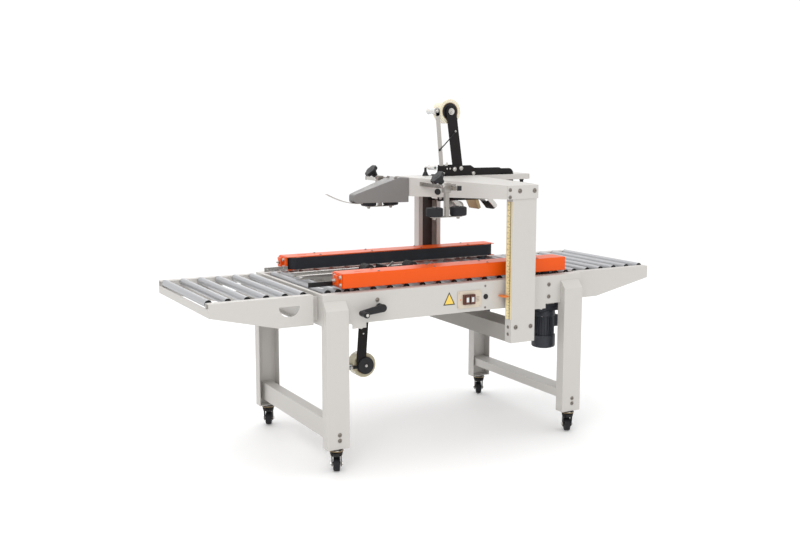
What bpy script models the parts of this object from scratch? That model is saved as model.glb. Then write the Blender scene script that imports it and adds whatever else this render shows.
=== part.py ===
"""Side-belt carton sealer, built as separate named parts.

Metres, +Z up.  Cartons travel along +X; -Y is the operator's side.
Dimensions are counted from the floor under the middle of the main bed, and
SHIFT_X then puts the origin under the middle of the machine's whole length.
"""
import math

import bmesh
import bpy
from mathutils import Matrix, Vector

SHIFT_X = 0.00845
GAP = 0.0003             # clearance left between parts that touch

# main bed
BED_X0 = -0.526
BED_X1 = 0.535
BED_Y = 0.304            # outer face of the side panels
BED_TOP = 0.604
BED_BOTTOM = 0.500
SHEET = 0.003

# rollers
ROLLER_R = 0.0125
ROLLER_Z = 0.598
ROLLER_HALF = 0.2425     # half length of a roller in the bed
BED_ROLLER_X = (-0.480, -0.4415)
SHORT_X0 = -0.3725
SHORT_PITCH = 0.0648
SHORT_COUNT = 11
SHORT_FIRST_X = -0.409
SHORT_LAST_X = (0.330, 0.383, 0.466, 0.512)
FLANGE = 0.040           # width of the bed's top flanges
RAIL_Y = 0.0645          # outer face of the two rails beside the lower head

# gravity tables
TABLE_Y = 0.278
TABLE_FLANGE = 0.030
TABLE_ROLLER_HALF = 0.2375
INFEED_X = (-0.9054, -0.5477)
INFEED_KINK = -0.671
INFEED_ROLLER_X0 = -0.8926
INFEED_PITCH = 0.0652
OUTFEED_X = (BED_X1 + GAP, 0.885)
OUTFEED_KINK = 0.634
OUTFEED_ROLLER_X0 = 0.5545
OUTFEED_PITCH = 0.0643
TABLE_TIP_Z = 0.558      # lower edge of a table panel at its free end

# legs
LEG_X = (0.443, 0.525)
LEG_Y = 0.330
LEG_DEPTH = 0.040
LEG_BOTTOM = 0.083

# casters
WHEEL_R = 0.025
WHEEL_W = 0.022
CASTER_TURN = math.radians(-28.0)
CASTER_TRAIL = 0.012
AXLE_R = 0.004

# belt carriages
ROD_X = (-0.39175, 0.350)
ROD_Z = 0.505
ROD_R = 0.009
HOUSE_X = (-0.440, 0.480)
HOUSE_Y = (0.199, 0.280)
HOUSE_Z = (0.616, 0.666)
DRUM_X = (-0.402, 0.442)
DRUM_Y = 0.2245
DRUM_R = 0.031
BELT_T = 0.003
MOTOR_XY = (0.430, 0.220)

# gantry
COL_X = (0.188, 0.291)
COL_Y = (0.315, 0.354)
COL_Z = (0.379, 0.941)
HEAD_BOTTOM = 0.897
HEAD_TOP = 0.965
HEAD_END_TOP = 0.945
TRAY_Y = 0.055
TRAY_X = (-0.062, 0.480)
SLOT_X = (0.062, 0.411)
SLOT_Y = 0.0405

# tape heads
PLATE_Y = (0.0345, 0.0375)
PIVOT_R = 0.005
ROLL_R = 0.0455
ROLL_HALF = 0.025
TOP_ROLL = (0.127, 1.203)
LOW_ROLL = (-0.2335, 0.279)
TOP_PIVOTS = ((0.116, 0.902), (0.274, 0.902))
TOP_TIPS = ((0.170, 0.848), (0.328, 0.846))
LOW_PIVOTS = ((-0.265, 0.575), (-0.085, 0.575))
LOW_TIPS = ((-0.211, 0.631), (-0.030, 0.631))

# top side presses
PRESS_X = -0.030
PRESS_Z = 0.9425
PRESS_BAR = 0.015
PRESS_REACH = 0.345
POST_X = -0.0495
PRESS_Y = {"front": -0.295, "rear": 0.205}
PRESS_WHEEL_R = 0.030
PRESS_WHEEL_DX = 0.048
PRESS_WHEEL_Z = (0.8437, 0.8747)

# controls
CRANK = (-0.3175, 0.5495)
CRANK_TIP = (-0.396, 0.538)

# name: (colour, roughness, metallic)
PAINTS = {
    "cream": ((0.82, 0.80, 0.76), 0.45, 0.0),
    "grey": ((0.42, 0.42, 0.43), 0.45, 0.1),
    "orange": ((0.95, 0.27, 0.03), 0.40, 0.0),
    "black": ((0.03, 0.03, 0.035), 0.55, 0.0),
    "belt": ((0.02, 0.03, 0.04), 0.80, 0.0),
    "roller": ((0.78, 0.79, 0.80), 0.35, 0.3),
    "steel": ((0.62, 0.60, 0.57), 0.30, 1.0),
    "motor": ((0.06, 0.065, 0.08), 0.50, 0.2),
    "tape": ((0.86, 0.80, 0.60), 0.25, 0.0),
    "plate": ((0.72, 0.66, 0.52), 0.50, 0.0),
    "button": ((0.90, 0.89, 0.86), 0.35, 0.0),
}


def paint(name):
    material = bpy.data.materials.get(name)
    if material is None:
        colour, roughness, metallic = PAINTS[name]
        material = bpy.data.materials.new(name)
        material.use_nodes = True
        shader = material.node_tree.nodes["Principled BSDF"]
        shader.inputs["Base Color"].default_value = (*colour, 1.0)
        shader.inputs["Roughness"].default_value = roughness
        shader.inputs["Metallic"].default_value = metallic
    return material


def prism(points, axis, low, high):
    """Solid with a flat outline in the two other axes, drawn along one axis."""
    bm = bmesh.new()
    lower = []
    for a, b in points:
        spot = [a, b]
        spot.insert(axis, low)
        lower.append(bm.verts.new(spot))
    face = bm.faces.new(lower)
    shift = Vector((0.0, 0.0, 0.0))
    shift[axis] = high - low
    grown = bmesh.ops.extrude_face_region(bm, geom=[face])
    moved = [v for v in grown["geom"] if isinstance(v, bmesh.types.BMVert)]
    bmesh.ops.translate(bm, verts=moved, vec=shift)
    bmesh.ops.recalc_face_normals(bm, faces=bm.faces)
    return bm


def box(x0, x1, y0, y1, z0, z1):
    return prism([(x0, y0), (x1, y0), (x1, y1), (x0, y1)], 2, z0, z1)


def rod(axis, a, b, low, high, radius, sides=16):
    """Round bar along one axis, centred on the point (a, b) of the two others."""
    ring = []
    for i in range(sides):
        turn = 2.0 * math.pi * i / sides
        ring.append((a + radius * math.cos(turn), b + radius * math.sin(turn)))
    return prism(ring, axis, low, high)


def chamfered_rod(axis, a, b, low, high, radius, edge, sides=20):
    """Round bar whose two rims are bevelled."""
    bm = rod(axis, a, b, low, high, radius, sides)
    rims = [e for e in bm.edges
            if abs(e.verts[0].co[axis] - e.verts[1].co[axis]) < 1e-7]
    bmesh.ops.bevel(bm, geom=rims, offset=edge, segments=1, affect="EDGES")
    return bm


def softened(bm, edge):
    """Bevel every edge of a plain solid."""
    bmesh.ops.bevel(bm, geom=list(bm.edges), offset=edge, segments=1,
                    affect="EDGES")
    return bm


def stadium(a, b, radius, sides=12):
    """Outline of a bar with two round ends, from point a to point b."""
    along = math.atan2(b[1] - a[1], b[0] - a[0])
    outline = []
    for centre, start in ((b, along - math.pi / 2), (a, along + math.pi / 2)):
        for i in range(sides + 1):
            turn = start + math.pi * i / sides
            outline.append((centre[0] + radius * math.cos(turn),
                            centre[1] + radius * math.sin(turn)))
    return outline


def mirrored(bm):
    """The same solid on the other side of the machine."""
    bmesh.ops.scale(bm, verts=bm.verts, vec=(1.0, -1.0, 1.0))
    bmesh.ops.reverse_faces(bm, faces=bm.faces)
    return bm


def both(make, *values):
    return [make(*values), mirrored(make(*values))]


def as_object(name, bm):
    mesh = bpy.data.meshes.new(name)
    bm.to_mesh(mesh)
    bm.free()
    obj = bpy.data.objects.new(name, mesh)
    bpy.context.scene.collection.objects.link(obj)
    return obj


def combine(target, bm, operation):
    """Boolean one more solid into the target object."""
    tool = as_object("tool", bm)
    modifier = target.modifiers.new("combine", "BOOLEAN")
    modifier.operation = operation
    modifier.solver = "EXACT"
    modifier.object = tool
    graph = bpy.context.evaluated_depsgraph_get()
    result = bpy.data.meshes.new_from_object(target.evaluated_get(graph))
    target.modifiers.clear()
    old = target.data
    target.data = result
    bpy.data.meshes.remove(old)
    old = tool.data
    bpy.data.objects.remove(tool)
    bpy.data.meshes.remove(old)


def part(name, colour, solids, cuts=(), late=(), origin=(0.0, 0.0, 0.0)):
    """One closed part: solids joined, cuts taken away, late solids joined."""
    obj = as_object(name, solids[0])
    for bm in solids[1:]:
        combine(obj, bm, "UNION")
    for bm in cuts:
        combine(obj, bm, "DIFFERENCE")
    for bm in late:
        combine(obj, bm, "UNION")
    mesh = obj.data
    mesh.name = name
    mesh.transform(Matrix.Translation(-Vector(origin)))
    obj.location = Vector(origin) + Vector((SHIFT_X, 0.0, 0.0))
    mesh.materials.clear()
    mesh.materials.append(paint(colour))
    for polygon in mesh.polygons:
        polygon.use_smooth = True
        polygon.material_index = 0
    mesh.set_sharp_from_angle(angle=math.radians(35.0))
    return obj


# ---------------------------------------------------------------- main bed

def build_bed():
    inner = BED_Y - SHEET / 2
    flange = BED_Y - FLANGE
    solids = both(box, BED_X0, BED_X1, -BED_Y, -BED_Y + SHEET,
                  BED_BOTTOM, BED_TOP)
    solids += both(box, BED_X0, BED_X1, -inner, -BED_Y + 0.020,
                   BED_BOTTOM, BED_BOTTOM + SHEET)
    solids += both(box, BED_X0, BED_X1, -inner, -flange,
                   BED_TOP - SHEET, BED_TOP)
    # the top flanges turn down beside the roller ends
    solids += both(box, BED_X0 + 0.001, BED_X1 - 0.001, -flange,
                   -flange + 0.0025, 0.584, BED_TOP - 0.001)
    for left in (BED_X0, BED_X1 - SHEET):
        solids.append(box(left, left + SHEET, -inner, inner,
                          BED_BOTTOM, BED_TOP))
    # infeed end lip, and the two cross members under the rollers
    solids.append(box(BED_X0, BED_X0 + 0.014, -inner, inner,
                      BED_TOP - SHEET, BED_TOP))
    for left in (-0.4165, 0.3085):
        solids.append(box(left, left + SHEET, -inner, inner,
                          BED_BOTTOM, 0.560))
    # rails on both sides of the lower tape head
    rail = [(-0.415, 0.520), (-0.415, 0.560), (-0.396, 0.560),
            (-0.396, 0.600), (0.310, 0.600), (0.310, 0.520)]
    solids += both(prism, rail, 1, -RAIL_Y, -RAIL_Y + SHEET)
    # rods the belt carriages slide on, and the tabs covering their ends
    for x in ROD_X:
        solids.append(rod(1, x, ROD_Z, -inner, inner, ROD_R, 12))
        solids += both(box, x - 0.026, x + 0.026, -BED_Y, -BED_Y + 0.002,
                       0.483, 0.502)
    # shoes that guide the gantry columns
    solids += both(box, 0.2145, 0.2645, -0.3425, -inner, 0.515, 0.590)
    solids += both(box, 0.1925, 0.2865, -0.3425, -0.3215, 0.515, 0.590)
    # height pointer
    solids.append(box(0.168, 0.1870, -0.338, -inner, 0.5465, 0.5495))
    cuts = [rod(1, CRANK[0], CRANK[1], -0.31, -0.29, 0.0070)]
    part("main_bed", "cream", solids, cuts)


def leg_solids(x0, x1):
    """Channel leg on the operator's side: outline and hollow."""
    face = -LEG_Y
    back = face + LEG_DEPTH
    panel = -BED_Y - GAP
    outline = [(face, LEG_BOTTOM), (face, 0.553), (panel, 0.583),
               (panel, BED_BOTTOM - GAP), (back, BED_BOTTOM - GAP),
               (back, LEG_BOTTOM)]
    hollow = [(face + SHEET, LEG_BOTTOM + SHEET), (face + SHEET, 0.5517),
              (panel + 0.0005, 0.5787), (back + 0.01, 0.5787),
              (back + 0.01, LEG_BOTTOM + SHEET)]
    return (prism(outline, 0, x0, x1),
            prism(hollow, 0, x0 + SHEET, x1 - SHEET))


def build_leg_frame(name, x0, x1, bar, bar_hollow):
    front, front_hollow = leg_solids(x0, x1)
    rear, rear_hollow = leg_solids(x0, x1)
    part(name, "cream",
         [front, mirrored(rear)],
         [front_hollow, mirrored(rear_hollow)],
         [channel_bar(bar, bar_hollow)])


def channel_bar(bar, hollow):
    """Folded crossbar between two legs, open on one side."""
    obj = as_object("bar", box(*bar))
    combine(obj, box(*hollow), "DIFFERENCE")
    bm = bmesh.new()
    bm.from_mesh(obj.data)
    mesh = obj.data
    bpy.data.objects.remove(obj)
    bpy.data.meshes.remove(mesh)
    return bm


def build_legs():
    reach = LEG_Y - SHEET / 2
    build_leg_frame("leg_frame_left", -LEG_X[1], -LEG_X[0],
                    (-0.504, -0.464, -reach, reach, 0.105, 0.172),
                    (-0.501, -0.460, -reach - 1, reach + 1, 0.108, 0.169))
    build_leg_frame("leg_frame_right", LEG_X[0], LEG_X[1],
                    (0.452, 0.517, -reach, reach, 0.132, 0.164),
                    (0.455, 0.514, -reach - 1, reach + 1, 0.130, 0.161))


def build_casters():
    turn = Matrix.Rotation(CASTER_TURN, 4, "Z")
    for tag, sx, sy in (("fl", -1, -1), ("fr", 1, -1),
                        ("bl", -1, 1), ("br", 1, 1)):
        centre = Vector((sx * 0.484, sy * 0.310, 0.0))
        place = Matrix.Translation(centre) @ turn
        t = CASTER_TRAIL
        cheek = [(-0.016, 0.068), (0.016, 0.068), (t + 0.012, 0.030),
                 (t + 0.010, 0.016), (t - 0.010, 0.016), (t - 0.014, 0.030)]
        solids = [
            box(-0.021, 0.021, -0.0185, 0.0185, 0.0795, LEG_BOTTOM - GAP),
            rod(2, 0.0, 0.0, 0.070, 0.080, 0.0165),
            box(-0.0165, 0.0165, -0.016, 0.016, 0.066, 0.071),
            prism(cheek, 0, -0.0165, -0.0140),
            prism(cheek, 0, 0.0140, 0.0165),
            rod(0, t, WHEEL_R, -0.0185, 0.0185, AXLE_R, 12),
            box(-0.009, 0.009, -0.036, -0.012, 0.0665, 0.0695),
        ]
        wheel = chamfered_rod(0, t, WHEEL_R, -WHEEL_W / 2, WHEEL_W / 2,
                              WHEEL_R, 0.003)
        hole = rod(0, t, WHEEL_R, -0.03, 0.03, AXLE_R + GAP, 12)
        for bm in solids + [wheel, hole]:
            bmesh.ops.transform(bm, matrix=place, verts=bm.verts)
        part("caster_fork_" + tag, "black", solids,
             origin=(centre.x, centre.y, LEG_BOTTOM))
        hub = place @ Vector((0.0, t, WHEEL_R))
        part("caster_wheel_" + tag, "black", [wheel], [hole], origin=hub)


def roller(name, x, body, stub):
    """Full-width idler roller with its two axle ends."""
    part(name, "roller",
         [rod(1, x, ROLLER_Z, -body, body, ROLLER_R, 16),
          rod(1, x, ROLLER_Z, -stub, stub, 0.0045, 8)],
         origin=(x, 0.0, ROLLER_Z))


def build_rollers():
    for i, x in enumerate(BED_ROLLER_X):
        roller("bed_roller_%d" % (i + 1), x, ROLLER_HALF,
               BED_Y - FLANGE - 0.0030)
    stub = TABLE_Y - TABLE_FLANGE - 0.0030
    for i in range(6):
        roller("infeed_roller_%d" % (i + 1),
               INFEED_ROLLER_X0 + INFEED_PITCH * i, TABLE_ROLLER_HALF, stub)
        roller("outfeed_roller_%d" % (i + 1),
               OUTFEED_ROLLER_X0 + OUTFEED_PITCH * i, TABLE_ROLLER_HALF, stub)
    # short rollers in two banks, each on one strip beside the centre rail
    for name, flip in (("short_rollers_front", False),
                       ("short_rollers_rear", True)):
        solids = [box(SHORT_FIRST_X - 0.008, SHORT_LAST_X[-1] + 0.008,
                      -0.0675, -RAIL_Y - GAP, 0.588, 0.600)]
        places = [SHORT_X0 + SHORT_PITCH * i for i in range(SHORT_COUNT)]
        for x in [SHORT_FIRST_X] + places + list(SHORT_LAST_X):
            solids.append(rod(1, x, ROLLER_Z, -ROLLER_HALF, -0.0672,
                              ROLLER_R, 10))
        if flip:
            solids = [mirrored(bm) for bm in solids]
        part(name, "roller", solids)


def hand_slot(x0, x1, top, bottom):
    """Half-round hand hole, flat side up."""
    radius = top - bottom
    outline = [(x0, top)]
    for i in range(1, 9):
        turn = math.pi + math.pi / 2 * i / 8
        outline.append((x0 + radius + radius * math.cos(turn),
                        top + radius * math.sin(turn)))
    for i in range(8):
        turn = 1.5 * math.pi + math.pi / 2 * i / 8
        outline.append((x1 - radius + radius * math.cos(turn),
                        top + radius * math.sin(turn)))
    outline.append((x1, top))
    return prism(outline, 1, -1.0, 1.0)


def table_frame(name, near, far, kink, slot=None):
    """Side panels, end sheets and hooks of a gravity roller table."""
    sign = 1.0 if far > near else -1.0
    side = [(near, BED_TOP), (far, BED_TOP), (far, TABLE_TIP_Z),
            (kink, 0.504), (near, 0.504)]
    thick = 0.0025
    solids = both(prism, side, 1, -TABLE_Y, -TABLE_Y + thick)
    inner = TABLE_Y - thick / 2

    def across(x, run, z0, z1):
        x0, x1 = sorted((x, x + sign * run))
        return box(x0, x1, -inner, inner, z0, z1)

    # top flanges, turned down beside the roller ends
    flange = TABLE_Y - TABLE_FLANGE
    x0, x1 = sorted((near, far))
    solids += both(box, x0, x1, -inner, -flange, BED_TOP - thick, BED_TOP)
    solids += both(box, x0, x1, -flange, -flange + thick, 0.584,
                   BED_TOP - 0.001)
    solids.append(across(near, thick, 0.504, BED_TOP))
    solids.append(across(near, 0.018, 0.504, 0.504 + thick))
    solids.append(across(far, -thick, TABLE_TIP_Z, 0.5855))
    solids.append(across(far, -0.022, TABLE_TIP_Z, TABLE_TIP_Z + thick))
    middle = (near + far) / 2
    solids.append(across(middle, thick, 0.545, 0.5635))
    cuts = [hand_slot(*slot)] if slot else []
    hooks = []
    if name == "infeed_frame":
        hooks = both(box, near - 0.001, BED_X0 - GAP, -0.262, -0.244,
                     0.515, 0.595)
    part(name, "cream", solids, cuts, hooks)


def build_tables():
    table_frame("infeed_frame", INFEED_X[1], INFEED_X[0], INFEED_KINK,
                (-0.669, -0.596, 0.573, 0.539))
    table_frame("outfeed_frame", OUTFEED_X[0], OUTFEED_X[1], OUTFEED_KINK)


# ---------------------------------------------------------- belt carriages

def build_carriages():
    for tag, flip in (("front", False), ("rear", True)):
        side = mirrored if flip else (lambda bm: bm)
        sy = 1.0 if flip else -1.0
        x0, x1 = HOUSE_X
        y_in, y_out = HOUSE_Y
        z0, z1 = HOUSE_Z
        wall = 0.0025
        solids = [
            box(x0, x1, -y_out, -y_in, z1 - wall, z1),
            box(x0, x1, -y_out, -y_in, z0, z0 + wall),
            box(x0, x1, -y_out, -y_out + wall, z0, z1),
            box(x0, x0 + wall, -y_out, -y_in, z0, z1),
            box(x1 - wall, x1, -y_out, -y_in, z0, z1),
            # tensioner bracket and the straight guide ahead of the belt
            box(x0 - 0.014, x0 + 0.001, -0.262, -0.234, 0.626, 0.660),
            box(-0.532, x0 + 0.001, -0.2045, -y_in, z0 + 0.0005, 0.633),
        ]
        for x in DRUM_X:
            solids.append(rod(2, x, -DRUM_Y, z0 + 0.001, z1 - 0.001,
                              DRUM_R, 20))
        cuts = []
        for x in ROD_X:
            solids.append(box(x - 0.00275, x + 0.00275, -0.240, -0.214,
                              ROD_Z, z0 + 0.001))
            solids.append(rod(1, x, ROD_Z, -0.266, -0.204, 0.015, 12))
            cuts.append(rod(1, x, ROD_Z, -0.30, -0.18, ROD_R + GAP, 12))
        part("belt_housing_" + tag, "orange", [side(bm) for bm in solids],
             [side(bm) for bm in cuts], origin=(0.0, sy * DRUM_Y, z0))

        inner_r = DRUM_R + GAP
        outer_r = inner_r + BELT_T
        ends = ((DRUM_X[0], -DRUM_Y), (DRUM_X[1], -DRUM_Y))
        loop = prism(stadium(*ends, outer_r), 2, z0 + 0.0032, z1 - 0.0032)
        core = prism(stadium(*ends, inner_r), 2, z0 - 0.1, z1 + 0.1)
        part("drive_belt_" + tag, "belt", [side(loop)], [side(core)],
             origin=(0.0, sy * DRUM_Y, z0))

        mx, my = MOTOR_XY
        solids = [
            softened(box(mx - 0.040, mx + 0.040, -my - 0.040, -my + 0.040,
                         0.460, 0.545), 0.004),
            rod(2, mx, -my, 0.350, 0.465, 0.0370, 20),
            chamfered_rod(2, mx, -my, 0.320, 0.362, 0.045, 0.005, 20),
            rod(2, mx, -my, 0.540, z0 - GAP, 0.018, 12),
            box(mx + 0.030, mx + 0.054, -my - 0.022, -my + 0.022,
                0.395, 0.440),
        ]
        part("belt_motor_" + tag, "motor", [side(bm) for bm in solids],
             origin=(mx, sy * my, 0.460))


# ------------------------------------------------------------------ gantry

def head_height(y):
    """Top of the head frame falls from the middle tray out to the columns."""
    reach = (abs(y) - TRAY_Y) / (0.3575 - TRAY_Y)
    return HEAD_TOP - (HEAD_TOP - HEAD_END_TOP) * max(0.0, reach)


def slope_top(bm, drop):
    """Lower the top corners of an arm solid onto the sloping sheet."""
    high = max(v.co.z for v in bm.verts)
    for v in bm.verts:
        if abs(v.co.z - high) < 1e-6:
            v.co.z = head_height(v.co.y) - drop
    return bm


def head_arm():
    outline = [(-0.062, -TRAY_Y), (0.1645, -0.3515), (0.1645, -0.3575),
               (0.2945, -0.3575), (0.2945, -0.311), (0.218, -TRAY_Y)]
    return slope_top(prism(outline, 2, HEAD_BOTTOM, HEAD_TOP), 0.0)


def head_arm_hollow():
    outline = [(-0.058, -TRAY_Y + 0.0005), (0.135, -0.308),
               (0.2904, -0.308), (0.2148, -TRAY_Y + 0.0005)]
    return slope_top(prism(outline, 2, HEAD_BOTTOM - 0.01, HEAD_TOP), SHEET)


def narrowed(bm, start, stop, scale):
    """Draw a solid in towards the middle between two places along x."""
    for v in bm.verts:
        part_way = (v.co.x - start) / (stop - start)
        v.co.y *= 1.0 - (1.0 - scale) * min(1.0, max(0.0, part_way))
    return bm


def build_gantry():
    for tag, side in (("front", lambda bm: bm), ("rear", mirrored)):
        x0, x1 = COL_X
        y_in, y_out = COL_Y
        part("column_" + tag, "cream",
             [side(box(x0, x1, -y_out, -y_in, *COL_Z))],
             [side(box(x0 + SHEET, x1 - SHEET, -y_out + SHEET,
                       -y_in - SHEET, 0.3, 1.0)),
              side(box(x0 + 0.018, x1 - 0.018, -y_in - 0.005,
                       -y_in + 0.005, 0.3, 1.0))])
    reach = COL_Y[0] - GAP
    part("lower_beam", "cream",
         [box(0.190, 0.289, -reach, reach, COL_Z[0], 0.440)],
         [box(0.193, 0.286, -1.0, 1.0, 0.30, 0.437)])

    # rounded outfeed end of the middle tray
    tray = [(TRAY_X[0], -TRAY_Y)]
    for i in range(7):
        turn = -math.pi / 2 + math.pi / 2 * i / 6
        tray.append((TRAY_X[1] - 0.020 + 0.020 * math.cos(turn),
                     -TRAY_Y + 0.020 + 0.020 * math.sin(turn)))
    for i in range(7):
        turn = math.pi / 2 * i / 6
        tray.append((TRAY_X[1] - 0.020 + 0.020 * math.cos(turn),
                     TRAY_Y - 0.020 + 0.020 * math.sin(turn)))
    tray.append((TRAY_X[0], TRAY_Y))
    solids = [prism(tray, 2, HEAD_END_TOP, HEAD_TOP)]
    solids.append(box(TRAY_X[0], 0.2165, -TRAY_Y - 0.0005, TRAY_Y + 0.0005,
                      HEAD_BOTTOM, HEAD_TOP))
    solids += both(head_arm)
    cuts = both(head_arm_hollow)
    cuts.append(box(TRAY_X[0] + SHEET, 0.2135, -TRAY_Y, TRAY_Y,
                    0.80, HEAD_TOP - SHEET))
    cuts.append(box(0.20, TRAY_X[1] - SHEET, -TRAY_Y + SHEET,
                    TRAY_Y - SHEET, 0.80, HEAD_TOP - SHEET))
    cuts.append(box(SLOT_X[0], SLOT_X[1], -SLOT_Y, SLOT_Y, 0.80, 1.10))
    cuts += both(box, COL_X[0] - 0.0005, COL_X[1] + 0.0005,
                 -COL_Y[1] - 0.0005, -COL_Y[0] + 0.0005, 0.80,
                 COL_Z[1] + 0.0005)
    half = PRESS_BAR / 2
    bar = box(PRESS_X - half, PRESS_X + half, -PRESS_REACH, PRESS_REACH,
              PRESS_Z - half, PRESS_Z + half)
    part("head_frame", "cream", solids, cuts, [bar])

    end = TRAY_X[0] - GAP
    shell = [(end, 0.963), (-0.097, 0.966), (-0.2660, 0.9080),
             (-0.270, 0.900), (-0.270, 0.884), (-0.262, 0.8765),
             (end, 0.875)]
    inside = [(end + 0.003, 0.961), (-0.0975, 0.9638), (-0.2645, 0.9066),
              (-0.268, 0.8995), (-0.268, 0.8855), (-0.2610, 0.8783),
              (end + 0.003, 0.877)]
    tongue = [(-0.235, 0.8752), (-0.262, 0.8752), (-0.290, 0.8790),
              (-0.325, 0.8915), (-0.370, 0.9095), (-0.369, 0.9115),
              (-0.324, 0.8938), (-0.2895, 0.8813), (-0.262, 0.8775),
              (-0.235, 0.8775)]
    part("head_nose", "grey",
         [narrowed(prism(shell, 1, -0.050, 0.050), end, -0.270, 0.44)],
         [narrowed(prism(inside, 1, -0.048, 0.048), end, -0.270, 0.44)],
         [narrowed(prism(tongue, 1, -0.021, 0.021), -0.235, -0.370, 0.2)])


def build_presses():
    half = PRESS_BAR / 2
    slack = half + 0.0005
    for tag, y in PRESS_Y.items():
        solids = [
            box(PRESS_X - 0.0115, PRESS_X + 0.0115, y - 0.014, y + 0.014,
                0.931, 0.954),
            box(POST_X - 0.0135, POST_X + 0.0115, y - 0.0115, y + 0.0115,
                0.925, 0.958),
        ]
        cuts = [
            box(PRESS_X - slack, PRESS_X + slack, y - 0.1, y + 0.1,
                PRESS_Z - slack, PRESS_Z + slack),
            box(POST_X - slack, POST_X + slack, y - slack, y + slack,
                0.80, 1.10),
        ]
        # clamp knob, leaning back over the infeed side
        stem = rod(2, 0.0, 0.0, -0.002, 0.036, 0.0045, 16)
        knob = chamfered_rod(2, 0.0, 0.0, 0.033, 0.048, 0.0270, 0.004, 24)
        lean = (Matrix.Translation((-0.0630, y, 0.9510))
                @ Matrix.Rotation(math.radians(-45.0), 4, "Y"))
        for bm in (stem, knob):
            bmesh.ops.transform(bm, matrix=lean, verts=bm.verts)
        part("press_clamp_" + tag, "steel", solids, cuts, [stem, knob],
             origin=(PRESS_X, y, PRESS_Z))

        low, high = PRESS_WHEEL_Z
        reach = PRESS_WHEEL_DX + 0.012
        solids = [
            box(POST_X - half, POST_X + half, y - half, y + half,
                0.8405, 0.956),
            box(POST_X - reach, POST_X + reach, y - 0.0125, y + 0.0125,
                0.8400, low - GAP),
        ]
        wheels = []
        for i, step in enumerate((-PRESS_WHEEL_DX, PRESS_WHEEL_DX)):
            x = POST_X + step
            solids.append(rod(2, x, y, 0.8335, high + 0.003, AXLE_R, 12))
            solids.append(rod(2, x, y, 0.8335, 0.8410, 0.0065, 6))
            solids.append(rod(2, x, y, high + GAP, high + 0.003, 0.0065, 6))
            wheels.append((i + 1, x))
        part("press_post_" + tag, "steel", solids,
             origin=(POST_X, y, PRESS_Z))
        for number, x in wheels:
            part("press_wheel_%s_%d" % (tag, number), "black",
                 [chamfered_rod(2, x, y, low, high, PRESS_WHEEL_R, 0.004)],
                 [rod(2, x, y, 0.80, 0.90, AXLE_R + GAP, 12)],
                 origin=(x, y, low))


# -------------------------------------------------------------- tape heads

def swing_arm(name, pivot, tip, radius):
    """Sprung arm: pivot tube, two cheeks and the tape roller at its end."""
    inside = PLATE_Y[0] - 0.001
    solids = [
        rod(1, *pivot, -inside, inside, 0.010, 12),
        rod(1, *tip, -0.0265, 0.0265, radius, 20),
        rod(1, *tip, -inside, inside, 0.004, 8),
    ]
    cheek = stadium(pivot, tip, 0.009, 5)
    solids += both(prism, cheek, 1, -inside, -0.0290)
    cuts = [rod(1, *pivot, -0.1, 0.1, PIVOT_R + GAP, 12)]
    part(name, "black", solids, cuts, origin=(pivot[0], 0.0, pivot[1]))


def head_plates(outline, pins):
    """Pair of side plates joined by cross pins."""
    near, far = PLATE_Y
    solids = both(prism, outline, 1, -far, -near)
    for x, z, radius in pins:
        solids.append(rod(1, x, z, -near - 0.001, near + 0.001, radius, 12))
    return solids


def tape_roll(name, centre):
    part(name, "tape",
         [rod(1, *centre, -ROLL_HALF, ROLL_HALF, ROLL_R, 32)],
         [rod(1, *centre, -0.1, 0.1, PIVOT_R + GAP, 12)],
         origin=(centre[0], 0.0, centre[1]))


def roll_axle(centre):
    """Axle of a tape roll with the nut that keeps the roll on."""
    x, z = centre
    return [rod(1, x, z, -0.0340, 0.0300, PIVOT_R, 12),
            rod(1, x, z, ROLL_HALF + GAP, 0.0300, 0.012, 6)]


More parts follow.
